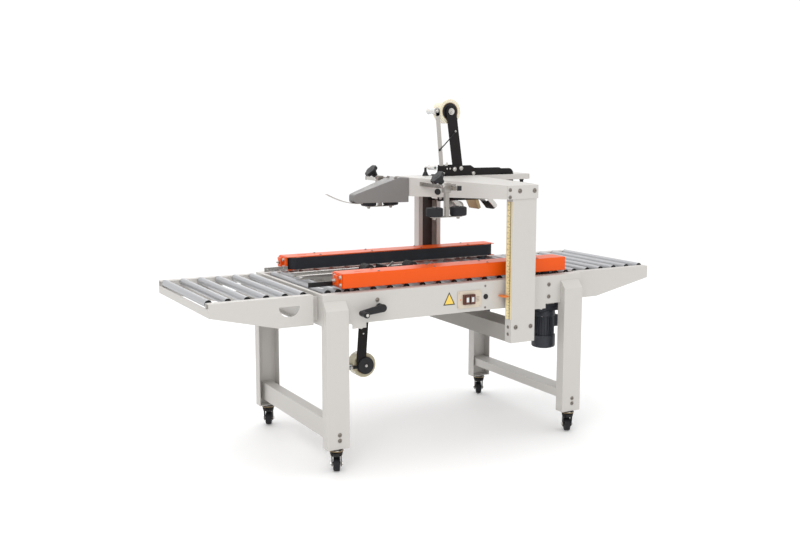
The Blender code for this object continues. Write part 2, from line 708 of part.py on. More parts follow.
def build_tape_heads():
    inner, outer = PLATE_Y
    plates = [(0.068, 0.872), (0.068, 1.003), (0.215, 1.003),
              (0.235, 0.990), (0.385, 0.988), (0.400, 0.980),
              (0.407, 0.966), (0.407, 0.872)]
    pins = [(0.080, 0.885, 0.006), (0.395, 0.885, 0.006),
            (0.225, 0.972, 0.006)]
    pins += [(*spot, PIVOT_R) for spot in TOP_PIVOTS]
    solids = head_plates(plates, pins)
    x, z = TOP_ROLL
    arm = [(0.1585, 0.985), (x, z)]
    solids.append(prism(stadium(*arm, 0.0215, 6), 1, -inner - 0.0005,
                        -0.0305))
    # tape guide strip with its two guide rollers, and the brace behind it
    solids.append(prism([(0.078, 0.985), (0.096, 0.985), (0.075, 1.212),
                         (0.057, 1.212)], 1, -inner - 0.0005, -0.0320))
    solids.append(prism([(0.078, 1.064), (0.147, 1.129), (0.143, 1.134),
                         (0.074, 1.069)], 1, -0.0345, -0.0322))
    solids.append(box(0.048, 0.085, -outer, -inner, 0.990, 1.003))
    solids.append(rod(1, 0.058, 0.996, -inner - 0.001, 0.0300, 0.0085, 12))
    solids.append(rod(1, 0.066, 1.205, -inner, 0.0300, 0.0115, 12))
    # lugs that rest on the tray
    for x0 in (0.090, 0.350):
        solids += both(box, x0, x0 + 0.040, -0.0500, -outer + 0.0005,
                       HEAD_TOP + GAP, HEAD_TOP + 0.003)
    # cutter carrier between the two arms
    carrier = [(0.218, 0.905), (0.238, 0.905), (0.262, 0.840),
               (0.252, 0.835)]
    solids.append(prism(carrier, 1, -inner - 0.0005, inner + 0.0005))
    part("top_head_frame", "black", solids + roll_axle(TOP_ROLL))
    tape_roll("top_tape_roll", TOP_ROLL)
    for tag, pivot, tip, radius in (
            ("front", TOP_PIVOTS[0], TOP_TIPS[0], 0.020),
            ("rear", TOP_PIVOTS[1], TOP_TIPS[1], 0.016)):
        swing_arm("top_%s_arm" % tag, pivot, tip, radius)

    plates = [(-0.490, 0.617), (-0.490, 0.621), (-0.465, 0.632),
              (0.030, 0.632), (0.030, 0.500), (-0.370, 0.500),
              (-0.370, 0.617)]
    pins = [(-0.355, 0.520, 0.006), (0.015, 0.520, 0.006),
            (-0.180, 0.515, 0.006), (-0.478, 0.6205, 0.003)]
    pins += [(*spot, PIVOT_R) for spot in LOW_PIVOTS]
    solids = head_plates(plates, pins)
    x, z = LOW_ROLL
    solids.append(prism(stadium((x, 0.520), (x, z), 0.0215, 6), 1,
                        -inner - 0.0005, -0.0305))
    solids.append(box(x - 0.064, x, -0.0345, -0.0310, z - 0.008, z + 0.004))
    solids.append(rod(1, x - 0.058, z - 0.002, -0.0340, 0.0300, 0.0085, 12))
    guard = [(-0.158, 0.600), (-0.128, 0.600), (-0.146, 0.645),
             (-0.156, 0.645)]
    solids.append(prism(guard, 1, -inner - 0.0005, inner + 0.0005))
    part("bottom_head_frame", "black", solids + roll_axle(LOW_ROLL))
    tape_roll("bottom_tape_roll", LOW_ROLL)
    for tag, pivot, tip in (("front", LOW_PIVOTS[0], LOW_TIPS[0]),
                            ("rear", LOW_PIVOTS[1], LOW_TIPS[1])):
        swing_arm("bottom_%s_arm" % tag, pivot, tip, 0.020)


# ---------------------------------------------------------------- controls

def build_controls():
    face = -BED_Y
    x, z = CRANK
    tx, tz = CRANK_TIP
    part("width_crank", "black", [
        rod(1, x, z, -0.335, -0.275, 0.006, 12),
        rod(1, x, z, -0.290, -0.277, 0.018),
        rod(1, x, z, -0.337, -0.308, 0.013),
        prism(stadium((x, z), (tx, tz), 0.009, 6), 1, -0.336, -0.326),
        chamfered_rod(1, tx, tz, -0.3745, -0.330, 0.0105, 0.003, 16),
    ], origin=(x, face, z))

    pockets = [box(left, left + 0.019, -0.40, face - 0.0045, 0.532, 0.560)
               for left in (0.0165, 0.0380)]
    part("switch_plate", "plate", [
        box(-0.007, 0.090, face - 0.0035, face - GAP, 0.5146, 0.576),
        box(0.0125, 0.0610, face - 0.0140, face - 0.003, 0.528, 0.564),
    ], pockets)
    for name, left in (("start_button", 0.0170), ("stop_button", 0.0385)):
        part(name, "button",
             [softened(box(left, left + 0.018, face - 0.0165, face - 0.0085,
                           0.5325, 0.5595), 0.001)],
             origin=(left + 0.009, face - 0.0125, 0.546))


for old_object in list(bpy.data.objects):
    bpy.data.objects.remove(old_object)
build_bed()
build_legs()
build_casters()
build_rollers()
build_tables()
build_carriages()
build_gantry()
build_presses()
build_tape_heads()
build_controls()
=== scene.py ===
"""Looks of the side-belt carton sealer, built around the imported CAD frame.

Metres, +Z up, cartons travel along +X and -Y is the operator's side.  Shapes
are drawn in the machine's own coordinates, counted from the middle of the bed,
and moved by DX into the frame's.
"""
import math

import bmesh
import bpy
from mathutils import Matrix, Vector


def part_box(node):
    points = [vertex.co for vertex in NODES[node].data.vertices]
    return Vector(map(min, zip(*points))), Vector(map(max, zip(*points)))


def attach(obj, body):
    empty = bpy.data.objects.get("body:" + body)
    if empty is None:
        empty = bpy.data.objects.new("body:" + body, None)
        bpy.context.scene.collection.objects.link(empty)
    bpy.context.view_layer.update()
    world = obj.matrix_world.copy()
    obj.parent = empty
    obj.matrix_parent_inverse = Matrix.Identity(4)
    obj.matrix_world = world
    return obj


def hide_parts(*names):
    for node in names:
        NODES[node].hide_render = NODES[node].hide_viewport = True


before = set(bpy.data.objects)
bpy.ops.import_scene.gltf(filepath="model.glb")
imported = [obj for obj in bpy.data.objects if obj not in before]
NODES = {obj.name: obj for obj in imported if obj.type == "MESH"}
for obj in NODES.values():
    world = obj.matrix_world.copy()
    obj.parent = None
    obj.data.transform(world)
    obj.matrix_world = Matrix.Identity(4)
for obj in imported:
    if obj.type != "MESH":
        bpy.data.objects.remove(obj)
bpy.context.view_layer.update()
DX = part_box("main_bed")[0].x + 0.526      # the bed starts at x = -0.526

# sizes that the CAD shares
BED_Y = 0.304
ROLLER_Z = 0.598
ROD_X = (-0.39175, 0.35)
ROD_Z = 0.505
HOUSE_X = (-0.44, 0.48)
HOUSE_Y = (0.199, 0.28)
HOUSE_Z = (0.616, 0.666)
DRUM_X = (-0.402, 0.442)
DRUM_Y = 0.2245
MOTOR_XY = (0.43, 0.22)
COL_X = (0.188, 0.291)
COL_Y = (0.315, 0.354)
TOP_ROLL = (0.127, 1.203)
LOW_ROLL = (-0.2335, 0.279)
PRESS_X = -0.03
PRESS_Z = 0.9425
POST_X = -0.0495
PRESS_Y = {"front": -0.295, "rear": 0.205}
CRANK = (-0.3175, 0.5495)
CRANK_TIP = (-0.396, 0.538)
SCALE_Z = 0.465                           # zero of the height scale

FRONT, BACK = (0, -1, 0), (0, 1, 0)
UP, DOWN = (0, 0, 1), (0, 0, -1)
RIGHT, LEFT = (1, 0, 0), (-1, 0, 0)


# ------ materials

MATERIALS = {}


class Surface:
    """Principled material with mottled colour, varied roughness and grain."""

    def __init__(self, name, colour, rough, metal=0.0, mottle=0.05,
            grain=500.0, bump=0.15, depth=0.0002, stretch=(1, 1, 1), vary=0.06,
            **sockets):
        self.material = bpy.data.materials.new(name)
        self.material.use_nodes = True
        self.tree = self.material.node_tree
        self.shader = self.tree.nodes["Principled BSDF"]
        MATERIALS[name] = self.material
        self.coords = self.node("ShaderNodeTexCoord").outputs["Object"]
        shader = self.shader
        shader.inputs["Metallic"].default_value = metal
        for key, value in sockets.items():
            shader.inputs[key.replace("_", " ")].default_value = value
        stretched = self.node("ShaderNodeMapping")
        stretched.inputs["Scale"].default_value = stretch
        self.link(self.coords, stretched.inputs["Vector"])
        self.grain = self.noise(grain, 3.0, stretched.outputs[0])
        broad = self.noise(4.0, 5.0)
        fine = self.noise(70.0, 4.0, stretched.outputs[0])
        low = [c * (1.0 - mottle) for c in colour]
        high = [min(1.0, c * (1.0 + 0.7 * mottle)) for c in colour]
        base = self.mix(broad, low, high)
        base = self.mix(self.remap(fine, 0.35, 0.75, 0.0, 0.35), base, low)
        self.colour(base)
        rough_at = self.remap(self.noise(22.0, 5.0), 0.3, 0.7, rough - vary,
            rough + vary)
        self.link(rough_at, shader.inputs["Roughness"])
        self.bump(self.grain, bump, depth)

    def node(self, kind):
        return self.tree.nodes.new(kind)

    def link(self, a, b):
        self.tree.links.new(a, b)

    def put(self, value, socket):
        if isinstance(value, bpy.types.NodeSocket):
            self.link(value, socket)
        elif isinstance(value,
                (tuple, list)) and len(value) == 3 and socket.type == "RGBA":
            socket.default_value = (*value, 1.0)
        else:
            socket.default_value = value

    def noise(self, scale, detail, vector=None):
        n = self.node("ShaderNodeTexNoise")
        n.inputs["Scale"].default_value = scale
        n.inputs["Detail"].default_value = detail
        self.link(vector or self.coords, n.inputs["Vector"])
        return n.outputs["Fac"]

    def remap(self, value, a, b, c, d):
        n = self.node("ShaderNodeMapRange")
        self.link(value, n.inputs["Value"])
        for key, v in (("From Min", a), ("From Max", b), ("To Min", c),
                ("To Max", d)):
            n.inputs[key].default_value = v
        return n.outputs[0]

    def math(self, operation, a, b=0.0):
        n = self.node("ShaderNodeMath")
        n.operation = operation
        self.put(a, n.inputs[0])
        self.put(b, n.inputs[1])
        return n.outputs[0]

    def mix(self, fac, a, b):
        n = self.node("ShaderNodeMix")
        n.data_type = "RGBA"
        self.put(fac, n.inputs[0])
        self.put(a, n.inputs[6])
        self.put(b, n.inputs[7])
        return n.outputs[2]

    def axes(self):
        n = self.node("ShaderNodeSeparateXYZ")
        self.link(self.coords, n.inputs[0])
        return n.outputs

    def colour(self, socket):
        self.base = socket
        self.link(socket, self.shader.inputs["Base Color"])

    def bump(self, height, strength, distance):
        n = self.node("ShaderNodeBump")
        n.inputs["Strength"].default_value = strength
        n.inputs["Distance"].default_value = distance
        self.link(height, n.inputs["Height"])
        last = getattr(self, "last_bump", None)
        if last:
            self.link(last, n.inputs["Normal"])
        self.last_bump = n.outputs[0]
        self.link(self.last_bump, self.shader.inputs["Normal"])

    def radius(self, x, z):
        """Distance from an axis that runs along Y."""
        at = self.coords
        for operation, by in (("SUBTRACT", (x + DX, 0.0, z)),
                ("MULTIPLY", (1.0, 0.0, 1.0)), ("LENGTH", (0.0, 0.0, 0.0))):
            n = self.node("ShaderNodeVectorMath")
            n.operation = operation
            self.link(at, n.inputs[0])
            n.inputs[1].default_value = by
            at = n.outputs[0]
        return n.outputs["Value"]


def ticks(surface, along, start, pitch, width):
    """1 on thin lines every pitch along one coordinate."""
    step = surface.math("DIVIDE", surface.math("SUBTRACT", along, start),
        pitch)
    part = surface.math("FRACT", step)
    return surface.math("LESS_THAN", part, width / pitch)


def make_materials():
    Surface("cream", (0.528, 0.509, 0.484), 0.46, mottle=0.012, grain=650,
        bump=0.16, depth=0.00005, vary=0.02)
    Surface("cream_grey", (0.42, 0.4, 0.375), 0.42, metal=0.2, mottle=0.05,
        grain=600, bump=0.15)
    # darker copy of the cream: painted shade for the lower beam, which sits in
    # shadow
    Surface("cream_painted_shade", (0.3, 0.284, 0.262), 0.5, mottle=0.03, grain=650,
        bump=0.16, depth=0.00005, vary=0.03)
    Surface("grey", (0.2, 0.193, 0.188), 0.42, metal=0.25, mottle=0.05,
        grain=700, bump=0.25)
    Surface("orange", (0.76, 0.088, 0.002), 0.36, mottle=0.02, grain=600,
        bump=0.12, depth=0.00005, vary=0.02, Specular_IOR_Level=0.25)
    Surface("bolt", (0.26, 0.235, 0.21), 0.34, metal=1.0, mottle=0.2,
        grain=300, bump=0.1)
    Surface("black_paint", (0.014, 0.012, 0.012), 0.5, mottle=0.25, grain=900,
        bump=0.3, Specular_IOR_Level=0.15)
    Surface("black_plastic", (0.013, 0.013, 0.015), 0.42, mottle=0.15,
        grain=1400, bump=0.3, depth=0.00012, Specular_IOR_Level=0.3)
    Surface("white_plastic", (0.66, 0.66, 0.65), 0.34, mottle=0.02, grain=900,
        bump=0.05, Subsurface_Weight=0.12, Subsurface_Scale=0.004)
    Surface("rubber", (0.013, 0.013, 0.016), 0.66, mottle=0.2, grain=1100,
        bump=0.5, depth=0.00015, Specular_IOR_Level=0.3)
    Surface("motor", (0.022, 0.025, 0.034), 0.45, metal=0.15, mottle=0.2,
        grain=420, bump=0.5, depth=0.0003)
    Surface("zinc", (0.6, 0.58, 0.55), 0.3, metal=1.0, mottle=0.14, grain=260,
        bump=0.08, vary=0.09)
    Surface("brass", (0.36, 0.27, 0.15), 0.36, metal=0.85, mottle=0.12,
        grain=400, bump=0.1)
    # steel_z has a darker tint than the steel_x and steel_y copies of the same
    # steel: painted shade on the upright steel parts
    for axis, tint, rough in (("x", (0.56, 0.54, 0.51), 0.28),
            ("y", (0.56, 0.54, 0.51), 0.28), ("z", (0.36, 0.335, 0.31), 0.3)):
        # drawn out along one axis, as brushed sheet is
        Surface("steel_" + axis, tint, rough, metal=1.0, mottle=0.08,
            grain=900, bump=0.22, depth=0.0001, stretch=[0.03 if a == axis
            else 1 for a in "xyz"])
    Surface("roller", (0.385, 0.39, 0.405), 0.34, metal=0.35, mottle=0.015,
        grain=800, bump=0.06, stretch=(1, 0.04, 1), depth=0.0001, vary=0.02)
    # near-black colour that stands for the shade inside the hollow columns:
    # painted shade
    Surface("painted_slot_shade", (0.045, 0.03, 0.026), 0.6, mottle=0.2)
    Surface("bezel", (0.105, 0.035, 0.022), 0.35, mottle=0.1, grain=900,
        bump=0.1)
    Surface("beige", (0.6, 0.52, 0.42), 0.42, mottle=0.04, grain=900,
        bump=0.12)
    Surface("pointer", (0.72, 0.19, 0.03), 0.4, mottle=0.05)
    Surface("decal_yellow", (0.8, 0.56, 0.1), 0.4, mottle=0.04)
    Surface("ink", (0.02, 0.018, 0.012), 0.5, mottle=0.1)
    Surface("card", (0.3, 0.2, 0.12), 0.8, mottle=0.12, grain=500, bump=0.5)

    belt = Surface("belt", (0.018, 0.02, 0.026), 0.62, mottle=0.16, grain=900,
        bump=0.3, Specular_IOR_Level=0.3)
    x, y, z = belt.axes()
    warp = belt.math("SINE", belt.math("MULTIPLY", belt.math("ADD", x, z),
        4200))
    weft = belt.math("SINE", belt.math("MULTIPLY", belt.math("SUBTRACT", x, z),
        4200))
    belt.bump(belt.math("MULTIPLY", warp, weft), 0.35, 0.00025)

    ruler = Surface("ruler", (0.8, 0.68, 0.36), 0.34, mottle=0.03, grain=900,
        bump=0.05)
    x, y, z = ruler.axes()
    marks = None
    for pitch, reach, width in mm("1,-340,0.6 5,-336.5,1.1 10,-333,1.5"):
        line = ticks(ruler, z, SCALE_Z, pitch, width)
        line = ruler.math("MULTIPLY", line, ruler.math("LESS_THAN", y, reach))
        marks = ruler.math("MAXIMUM", marks, line) if marks else line
    marks = ruler.math("MULTIPLY", marks, ruler.math("GREATER_THAN", y,
        -0.3465))
    ruler.colour(ruler.mix(marks, ruler.base, (0.03, 0.02, 0.01)))

    for name, (cx, cz), tint in (("tape_top", TOP_ROLL, (0.8, 0.74, 0.56)),
            ("tape_low", LOW_ROLL, (0.52, 0.47, 0.32))):
        tape = Surface(name, tint, 0.24, mottle=0.04, grain=300, bump=0.04,
            Subsurface_Weight=0.25, Subsurface_Scale=0.012, Coat_Weight=0.3,
            Coat_Roughness=0.12)
        tape.shader.inputs["Subsurface Radius"].default_value = (1.0, 0.8, 0.5)
        turn = tape.radius(cx, cz)
        layers = tape.math("SINE", tape.math("MULTIPLY", turn, 7000.0))
        wide = tape.node("ShaderNodeTexNoise")
        wide.noise_dimensions = "1D"
        wide.inputs["Scale"].default_value = 900.0
        tape.link(turn, wide.inputs["W"])
        shade = tape.remap(wide.outputs["Fac"], 0.35, 0.65, 0.0, 0.5)
        tape.colour(tape.mix(shade, tape.base, [c * 0.72 for c in tint]))
        tape.bump(layers, 0.25, 0.0001)

    knurl = Surface("knurl", (0.02, 0.018, 0.018), 0.6, mottle=0.2, grain=900,
        bump=0.3)
    x, y, z = knurl.axes()
    rows = knurl.math("SINE", knurl.math("MULTIPLY", y, 3600.0))
    knurl.bump(rows, 0.6, 0.0004)


# ------ mesh helpers

def mm(text):
    """Points in metres from "x,y x,y" in millimetres."""
    return [tuple(round(float(v) / 1000.0, 7) for v in spot.split(","))
        for spot in text.split()]


def both_ways(half):
    """Profile of a body that is the same on both sides of its middle."""
    return half + [(-a, r) for a, r in reversed(half) if a]


def between(low, high, rim):
    """Profile with the same rim, seen from its own end, at both ends."""
    return ([(low + a, r) for a, r in rim] + [(high - a, r)
        for a, r in reversed(rim)])


def span(side, near, far):
    """Two places along Y on one side of the machine, in rising order."""
    return sorted((side * near, side * far))


def prism(points, axis, low, high, edge=0.0, steps=2):
    """Solid with a flat outline in two axes, drawn out along the third."""
    bm = bmesh.new()
    lower = []
    for a, b in points:
        spot = [a, b]
        spot.insert(axis, low)
        lower.append(bm.verts.new(spot))
    face = bm.faces.new(lower)
    shift = Vector((0.0, 0.0, 0.0))
    shift[axis] = high - low
    grown = bmesh.ops.extrude_face_region(bm, geom=[face])
    moved = [v for v in grown["geom"] if isinstance(v, bmesh.types.BMVert)]
    bmesh.ops.translate(bm, verts=moved, vec=shift)
    bmesh.ops.recalc_face_normals(bm, faces=bm.faces)
    if edge:
        sharp = [e for e in bm.edges if e.calc_face_angle(0.0) > 0.5]
        bmesh.ops.bevel(bm, geom=sharp, offset=edge, segments=steps,
            profile=0.5, affect="EDGES", clamp_overlap=True)
    return bm


def block(x0, x1, y0, y1, z0, z1, edge=0.0008, steps=2):
    return prism([(x0, y0), (x1, y0), (x1, y1), (x0, y1)], 2, z0, z1, edge,
        steps)


def centred(x, y, dx, dy, z0, z1, edge=0.0008, steps=2):
    """Block around an upright line."""
    return block(x - dx, x + dx, y - dy, y + dy, z0, z1, edge, steps)


def aim(at, direction):
    """Matrix that takes the local Z axis to a direction through a point."""
    turn = Vector(direction).to_track_quat("Z", "Y").to_matrix().to_4x4()
    return Matrix.Translation(Vector(at)) @ turn


def moved(bm, matrix):
    bmesh.ops.transform(bm, matrix=matrix, verts=bm.verts)
    return bm


def turned(profile, at, direction=(0, 0, 1), sides=40, loop=False):
    """Solid of revolution: a profile of (distance along the axis, radius)."""
    bm = bmesh.new()
    rings = []
    for along, radius in profile:
        if radius < 1e-7:
            rings.append([bm.verts.new((0, 0, along))] * sides)
            continue
        rings.append([bm.verts.new((radius * math.cos(2 * math.pi * i / sides),
            radius * math.sin(2 * math.pi * i / sides), along))
            for i in range(sides)])
    pairs = list(zip(rings, rings[1:]))
    if loop:
        pairs.append((rings[-1], rings[0]))
    for a, b in pairs:
        for i in range(sides):
            j = (i + 1) % sides
            corners = []
            for v in (a[i], a[j], b[j], b[i]):
                if v not in corners:
                    corners.append(v)
            if len(corners) > 2:
                bm.faces.new(corners)
    bmesh.ops.recalc_face_normals(bm, faces=bm.faces)
    return moved(bm, aim(at, direction))


def across(profile, x, z, sides=24, loop=False):
    """Solid of revolution about a line along Y."""
    return turned(profile, (x, 0, z), BACK, sides, loop)


def pin(low, high, radius, x, z, sides=20):
    """Plain round pin along Y."""
    return across(between(low, high, [(0.0, 0.0), (0.0, radius)]), x, z, sides)


def round_bar(at, direction, length, radius, edge=0.0006, sides=32):
    """Turned bar with rounded rims, starting at a point."""
    soft = edge * 0.3
    rim = [(0, 0), (0, radius - edge), (soft, radius - soft), (edge, radius)]
    return turned(between(0, length, rim), at, direction, sides)


def tube(path, radius, sides=12):
    """Round rod swept along a path of points."""
    bm = bmesh.new()
    points = [Vector(p) for p in path]
    rings = []
    for i, p in enumerate(points):
        a = points[max(0, i - 1)]
        b = points[min(len(points) - 1, i + 1)]
        basis = aim(p, b - a)
        rings.append([bm.verts.new(basis @ Vector((radius
            * math.cos(2 * math.pi * k / sides), radius * math.sin(2 * math.pi
            * k / sides), 0.0))) for k in range(sides)])
    for a, b in zip(rings, rings[1:]):
        near = min(range(sides), key=lambda k: (b[k].co - a[0].co).length)
        for k in range(sides):
            bm.faces.new((a[k], a[(k + 1) % sides], b[(k + 1 + near) % sides],
                b[(k + near) % sides]))
        b[:] = b[near:] + b[:near]
    bm.faces.new(rings[0])
    bm.faces.new(rings[-1])
    bmesh.ops.recalc_face_normals(bm, faces=bm.faces)
    return bm


def helix(place, radius, coils, wire, sides):
    """Coiled wire of 16 steps a turn: place gives the axis point at 0..1 and
    the two directions square to the axis."""
    path = []
    for i in range(16 * coils + 1):
        turn = 2 * math.pi * i / 16
        at, u, v = place(i / (16 * coils))
        path.append([a + radius * (b * math.cos(turn) + c * math.sin(turn))
            for a, b, c in zip(at, u, v)])
    return tube(path, wire, sides)


def ribbon(path, width, thick):
    """Bent strip of sheet: the path is (x, z) along its middle."""
    left, right = [], []
    for i, (x, z) in enumerate(path):
        a = path[max(0, i - 1)]
        b = path[min(len(path) - 1, i + 1)]
        run = Vector((b[0] - a[0], b[1] - a[1])).normalized() * thick / 2
        left.append((x - run.y, z + run.x))
        right.append((x + run.y, z - run.x))
    return prism(left + right[::-1], 1, -width / 2, width / 2, thick * 0.3, 2)


def arc(cx, cy, radius, start, end, steps=8):
    """Points of an arc between two angles in degrees."""
    spots = []
    for i in range(steps + 1):
        turn = math.radians(start + (end - start) * i / steps)
        spots.append((cx + radius * math.cos(turn), cy + radius
            * math.sin(turn)))
    return spots


def stadium(a, b, radius, steps=12):
    """Outline of a bar with two round ends."""
    along = math.degrees(math.atan2(b[1] - a[1], b[0] - a[0]))
    return (arc(*b, radius, along - 90, along + 90, steps) + arc(*a, radius,
        along + 90, along + 270, steps))


def rounded_box(x0, x1, z0, z1, radius, steps=5):
    """Outline of a rectangle with round corners."""
    return (arc(x1 - radius, z0 + radius, radius, -90, 0, steps)
        + arc(x1 - radius, z1 - radius, radius, 0, 90, steps)
        + arc(x0 + radius, z1 - radius, radius, 90, 180, steps)
        + arc(x0 + radius, z0 + radius, radius, 180, 270, steps))


def hexagon(at, direction, low, high, radius):
    """Hexagonal nut or head with turned-off corners."""
    ring = [(radius * math.cos(math.pi * k / 3), radius * math.sin(math.pi
        * k / 3)) for k in range(6)]
    bm = prism(ring, 2, low, high, radius * 0.09, 2)
    return moved(bm, aim(at, direction))


def lobed(at, direction, low, high, radius, lobes=6, depth=0.12):
    """Hand knob with a scalloped rim."""
    ring = []
    for k in range(lobes * 12):
        turn = 2 * math.pi * k / (lobes * 12)
        r = radius * (1.0 - depth * (0.5 - 0.5 * math.cos(lobes * turn)) ** 2)
        ring.append((r * math.cos(turn), r * math.sin(turn)))
    bm = prism(ring, 2, low, high)
    rims = [e for e in bm.edges if abs(e.verts[0].co.z
        - e.verts[1].co.z) < 1e-7]
    bmesh.ops.bevel(bm, geom=rims, offset=radius * 0.12, segments=3,
        profile=0.5, affect="EDGES", clamp_overlap=True)
    return moved(bm, aim(at, direction))


def screw(at, direction, radius=0.0055):
    """Button-head socket screw on its washer."""
    h = radius * 0.62
    head = turned([(0.0, 0.0), (0.0, radius * 1.5), (0.0006, radius * 1.55),
        (0.0011, radius * 1.45), (0.0011, radius), (h * 0.5 + 0.001, radius
        * 0.94), (h * 0.85 + 0.001, radius * 0.72), (h + 0.001, radius * 0.5),
        (0.0016, radius * 0.46), (0.0016, 0.0)], at, direction, 24)
    return head


def bolt(at, direction, radius=0.006, height=0.004):
    """Hexagon head on a washer, as two solids."""
    washer = round_bar(at, direction, 0.0012, radius * 1.35, 0.0003, 24)
    return [washer, hexagon(at, direction, 0.001, 0.001 + height, radius)]


def mirror_y(bm):
    bmesh.ops.scale(bm, verts=bm.verts, vec=(1.0, -1.0, 1.0))
    bmesh.ops.reverse_faces(bm, faces=bm.faces)
    return bm


def show(name, data):
    obj = bpy.data.objects.new(name, data)
    bpy.context.scene.collection.objects.link(obj)
    return obj


def as_object(name, bm):
    mesh = bpy.data.meshes.new(name)
    bm.to_mesh(mesh)
    bm.free()
    return show(name, mesh)


def cut(bm, *tools):
    """Take solids away from a solid."""
    target = as_object("target", bm)
    for tool in tools:
        cutter = as_object("cutter", tool)
        modifier = target.modifiers.new("cut", "BOOLEAN")
        modifier.operation = "DIFFERENCE"
        modifier.solver = "EXACT"
        modifier.object = cutter
        graph = bpy.context.evaluated_depsgraph_get()
        result = bpy.data.meshes.new_from_object(target.evaluated_get(graph))
        target.modifiers.clear()
        target.data = result
        bpy.data.objects.remove(cutter)
    out = bmesh.new()
    out.from_mesh(target.data)
    bpy.data.objects.remove(target)
    return out


def each(solids):
    """Every solid in (material, solid or list of solids) pairs."""
    for _, group in solids:
        yield from group if isinstance(group, list) else [group]


def piece(name, body, solids, replaces=()):
    """One visible object from (material, solid or list of solids) pairs."""
    whole = bmesh.new()
    names = []
    for material, group in solids:
        if material not in names:
            names.append(material)
        index = names.index(material)
        for bm in (group if isinstance(group, list) else [group]):
            for face in bm.faces:
                face.material_index = index
                face.smooth = True
            scrap = bpy.data.meshes.new("scrap")
            bm.to_mesh(scrap)
            bm.free()
            whole.from_mesh(scrap)
            bpy.data.meshes.remove(scrap)
    bmesh.ops.translate(whole, verts=whole.verts, vec=(DX, 0.0, 0.0))
    obj = as_object(name, whole)
    for material in names:
        obj.data.materials.append(MATERIALS[material])
    obj.data.set_sharp_from_angle(angle=math.radians(32.0))
    normals = obj.modifiers.new("normals", "WEIGHTED_NORMAL")
    normals.keep_sharp = True
    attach(obj, body)
    if replaces:
        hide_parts(*replaces)
    return obj


def stand_in(node, body, solids):
    """A visible object in the place of one CAD node."""
    return piece("look_" + node, body, solids, [node])


def dress(node, material, edge=0.0012):
    """Keep a CAD node, with folded-sheet edges and a finished material."""
    obj = NODES[node]
    obj.data.materials.clear()
    obj.data.materials.append(MATERIALS[material])
    weld = obj.modifiers.new("weld", "WELD")
    weld.merge_threshold = 0.00001
    flat = obj.modifiers.new("flat", "DECIMATE")
    flat.decimate_type = "DISSOLVE"
    flat.angle_limit = math.radians(0.5)
    bevel = obj.modifiers.new("edges", "BEVEL")
    bevel.width = edge
    bevel.segments = 3
    bevel.limit_method = "ANGLE"
    bevel.angle_limit = math.radians(25)
    bevel.harden_normals = False
    normals = obj.modifiers.new("normals", "WEIGHTED_NORMAL")
    normals.keep_sharp = True


# ------ rollers

def roller(x, low, high, stub):
    """Roller between two ends along Y: shell, pressed caps, round axle."""
    rim = mm("1.6,0 1.6,10.9 0,11.1 0,12 0.5,12.5")
    shell = turned(between(0, high - low, rim), (x, low, ROLLER_Z), BACK)
    cap = mm("1.7,0 1.7,12.4 -0.8,12.6 -1.6,11.9 -1.6,8.8 -1,8 -1,6 -2.2,5.6 "
        "-2.2,0")
    caps, axle = [], []
    for y, step, inward, outward in ((low, 0.001, BACK, FRONT),
            (high, -0.001, FRONT, BACK)):
        caps.append(turned(cap, (x, y, ROLLER_Z), inward, 28))
        axle.append(round_bar((x, y + step, ROLLER_Z), outward, stub, 0.004,
            0.0004, 16))
    return [("roller", shell), ("black_plastic", caps), ("zinc", axle)]


def build_rollers():
    rows = [("bed_roller_%d", (-0.48, -0.4415), 0.2425, 0.019),
        ("infeed_roller_%d", [-0.8926 + 0.0652 * i for i in range(6)], 0.2375,
        0.008), ("outfeed_roller_%d", [0.5545 + 0.0643 * i for i in range(6)],
        0.2375, 0.008)]
    for label, places, half, stub in rows:
        for i, x in enumerate(places):
            node = label % (i + 1)
            stand_in(node, node, roller(x, -half, half, stub))
    places = [-0.409] + [-0.3725 + 0.0648 * i for i in range(11)]
    places += [0.33, 0.383, 0.466, 0.512]
    for tag, sign in (("front", -1), ("rear", 1)):
        solids = []
        for x in places:
            solids += roller(x, *span(sign, 0.069, 0.2425), 0.004)
        y0, y1 = span(sign, 0.0648, 0.0676)
        solids.append(("zinc", block(-0.417, 0.52, y0, y1, 0.588, 0.6,
            0.0004)))
        stand_in("short_rollers_" + tag, "base", solids)


# ------ the base

def build_base():
    dress("main_bed", "cream")
    for node in ("leg_frame_left", "leg_frame_right", "infeed_frame",
            "outfeed_frame"):
        dress(node, "cream")
    face = -BED_Y
    fittings = []
    for x, z in mm("-324,574 389,571 389,526"):
        fittings.append(screw((x, face, z), FRONT, 0.0052))
        fittings.append(screw((x, BED_Y, z), BACK, 0.0052))
    for z in (0.588, 0.51):
        fittings.append(screw((0.109, face, z), FRONT, 0.0026))
    for sx in (-1, 1):
        for sy in (-1, 1):
            for z in (0.132, 0.1125):
                fittings.append(screw((sx * 0.484 + 0.004, sy * 0.33, z),
                    (0, sy, 0), 0.005))
    piece("panel_screws", "base", [("bolt", fittings)])
    gland = [turned(mm("0,0 0,9.5 1.5,9.5 2.5,8.8 4,7.5 4.8,6 4.2,3 4.2,0"),
        (0.111, face, 0.549), FRONT, 32)]
    piece("panel_grommet", "base", [("black_plastic", gland)])
    arrow = [block(0.166, 0.1869, -0.3385, -BED_Y, 0.545, 0.551, 0.0006)]
    piece("height_pointer", "base", [("pointer", arrow)])
    # white tabs over the ends of the carriage rods
    tabs = []
    for x in ROD_X:
        for sy in (-1, 1):
            shape = [(x - 0.034, 0.5035), (x + 0.028, 0.5035),
                (x + 0.01, 0.479), (x - 0.016, 0.486)]
            tabs.append(prism(shape, 1, *span(sy, 0.3015, 0.3035), 0.0005))
    piece("rod_tabs", "base", [("cream", tabs)])


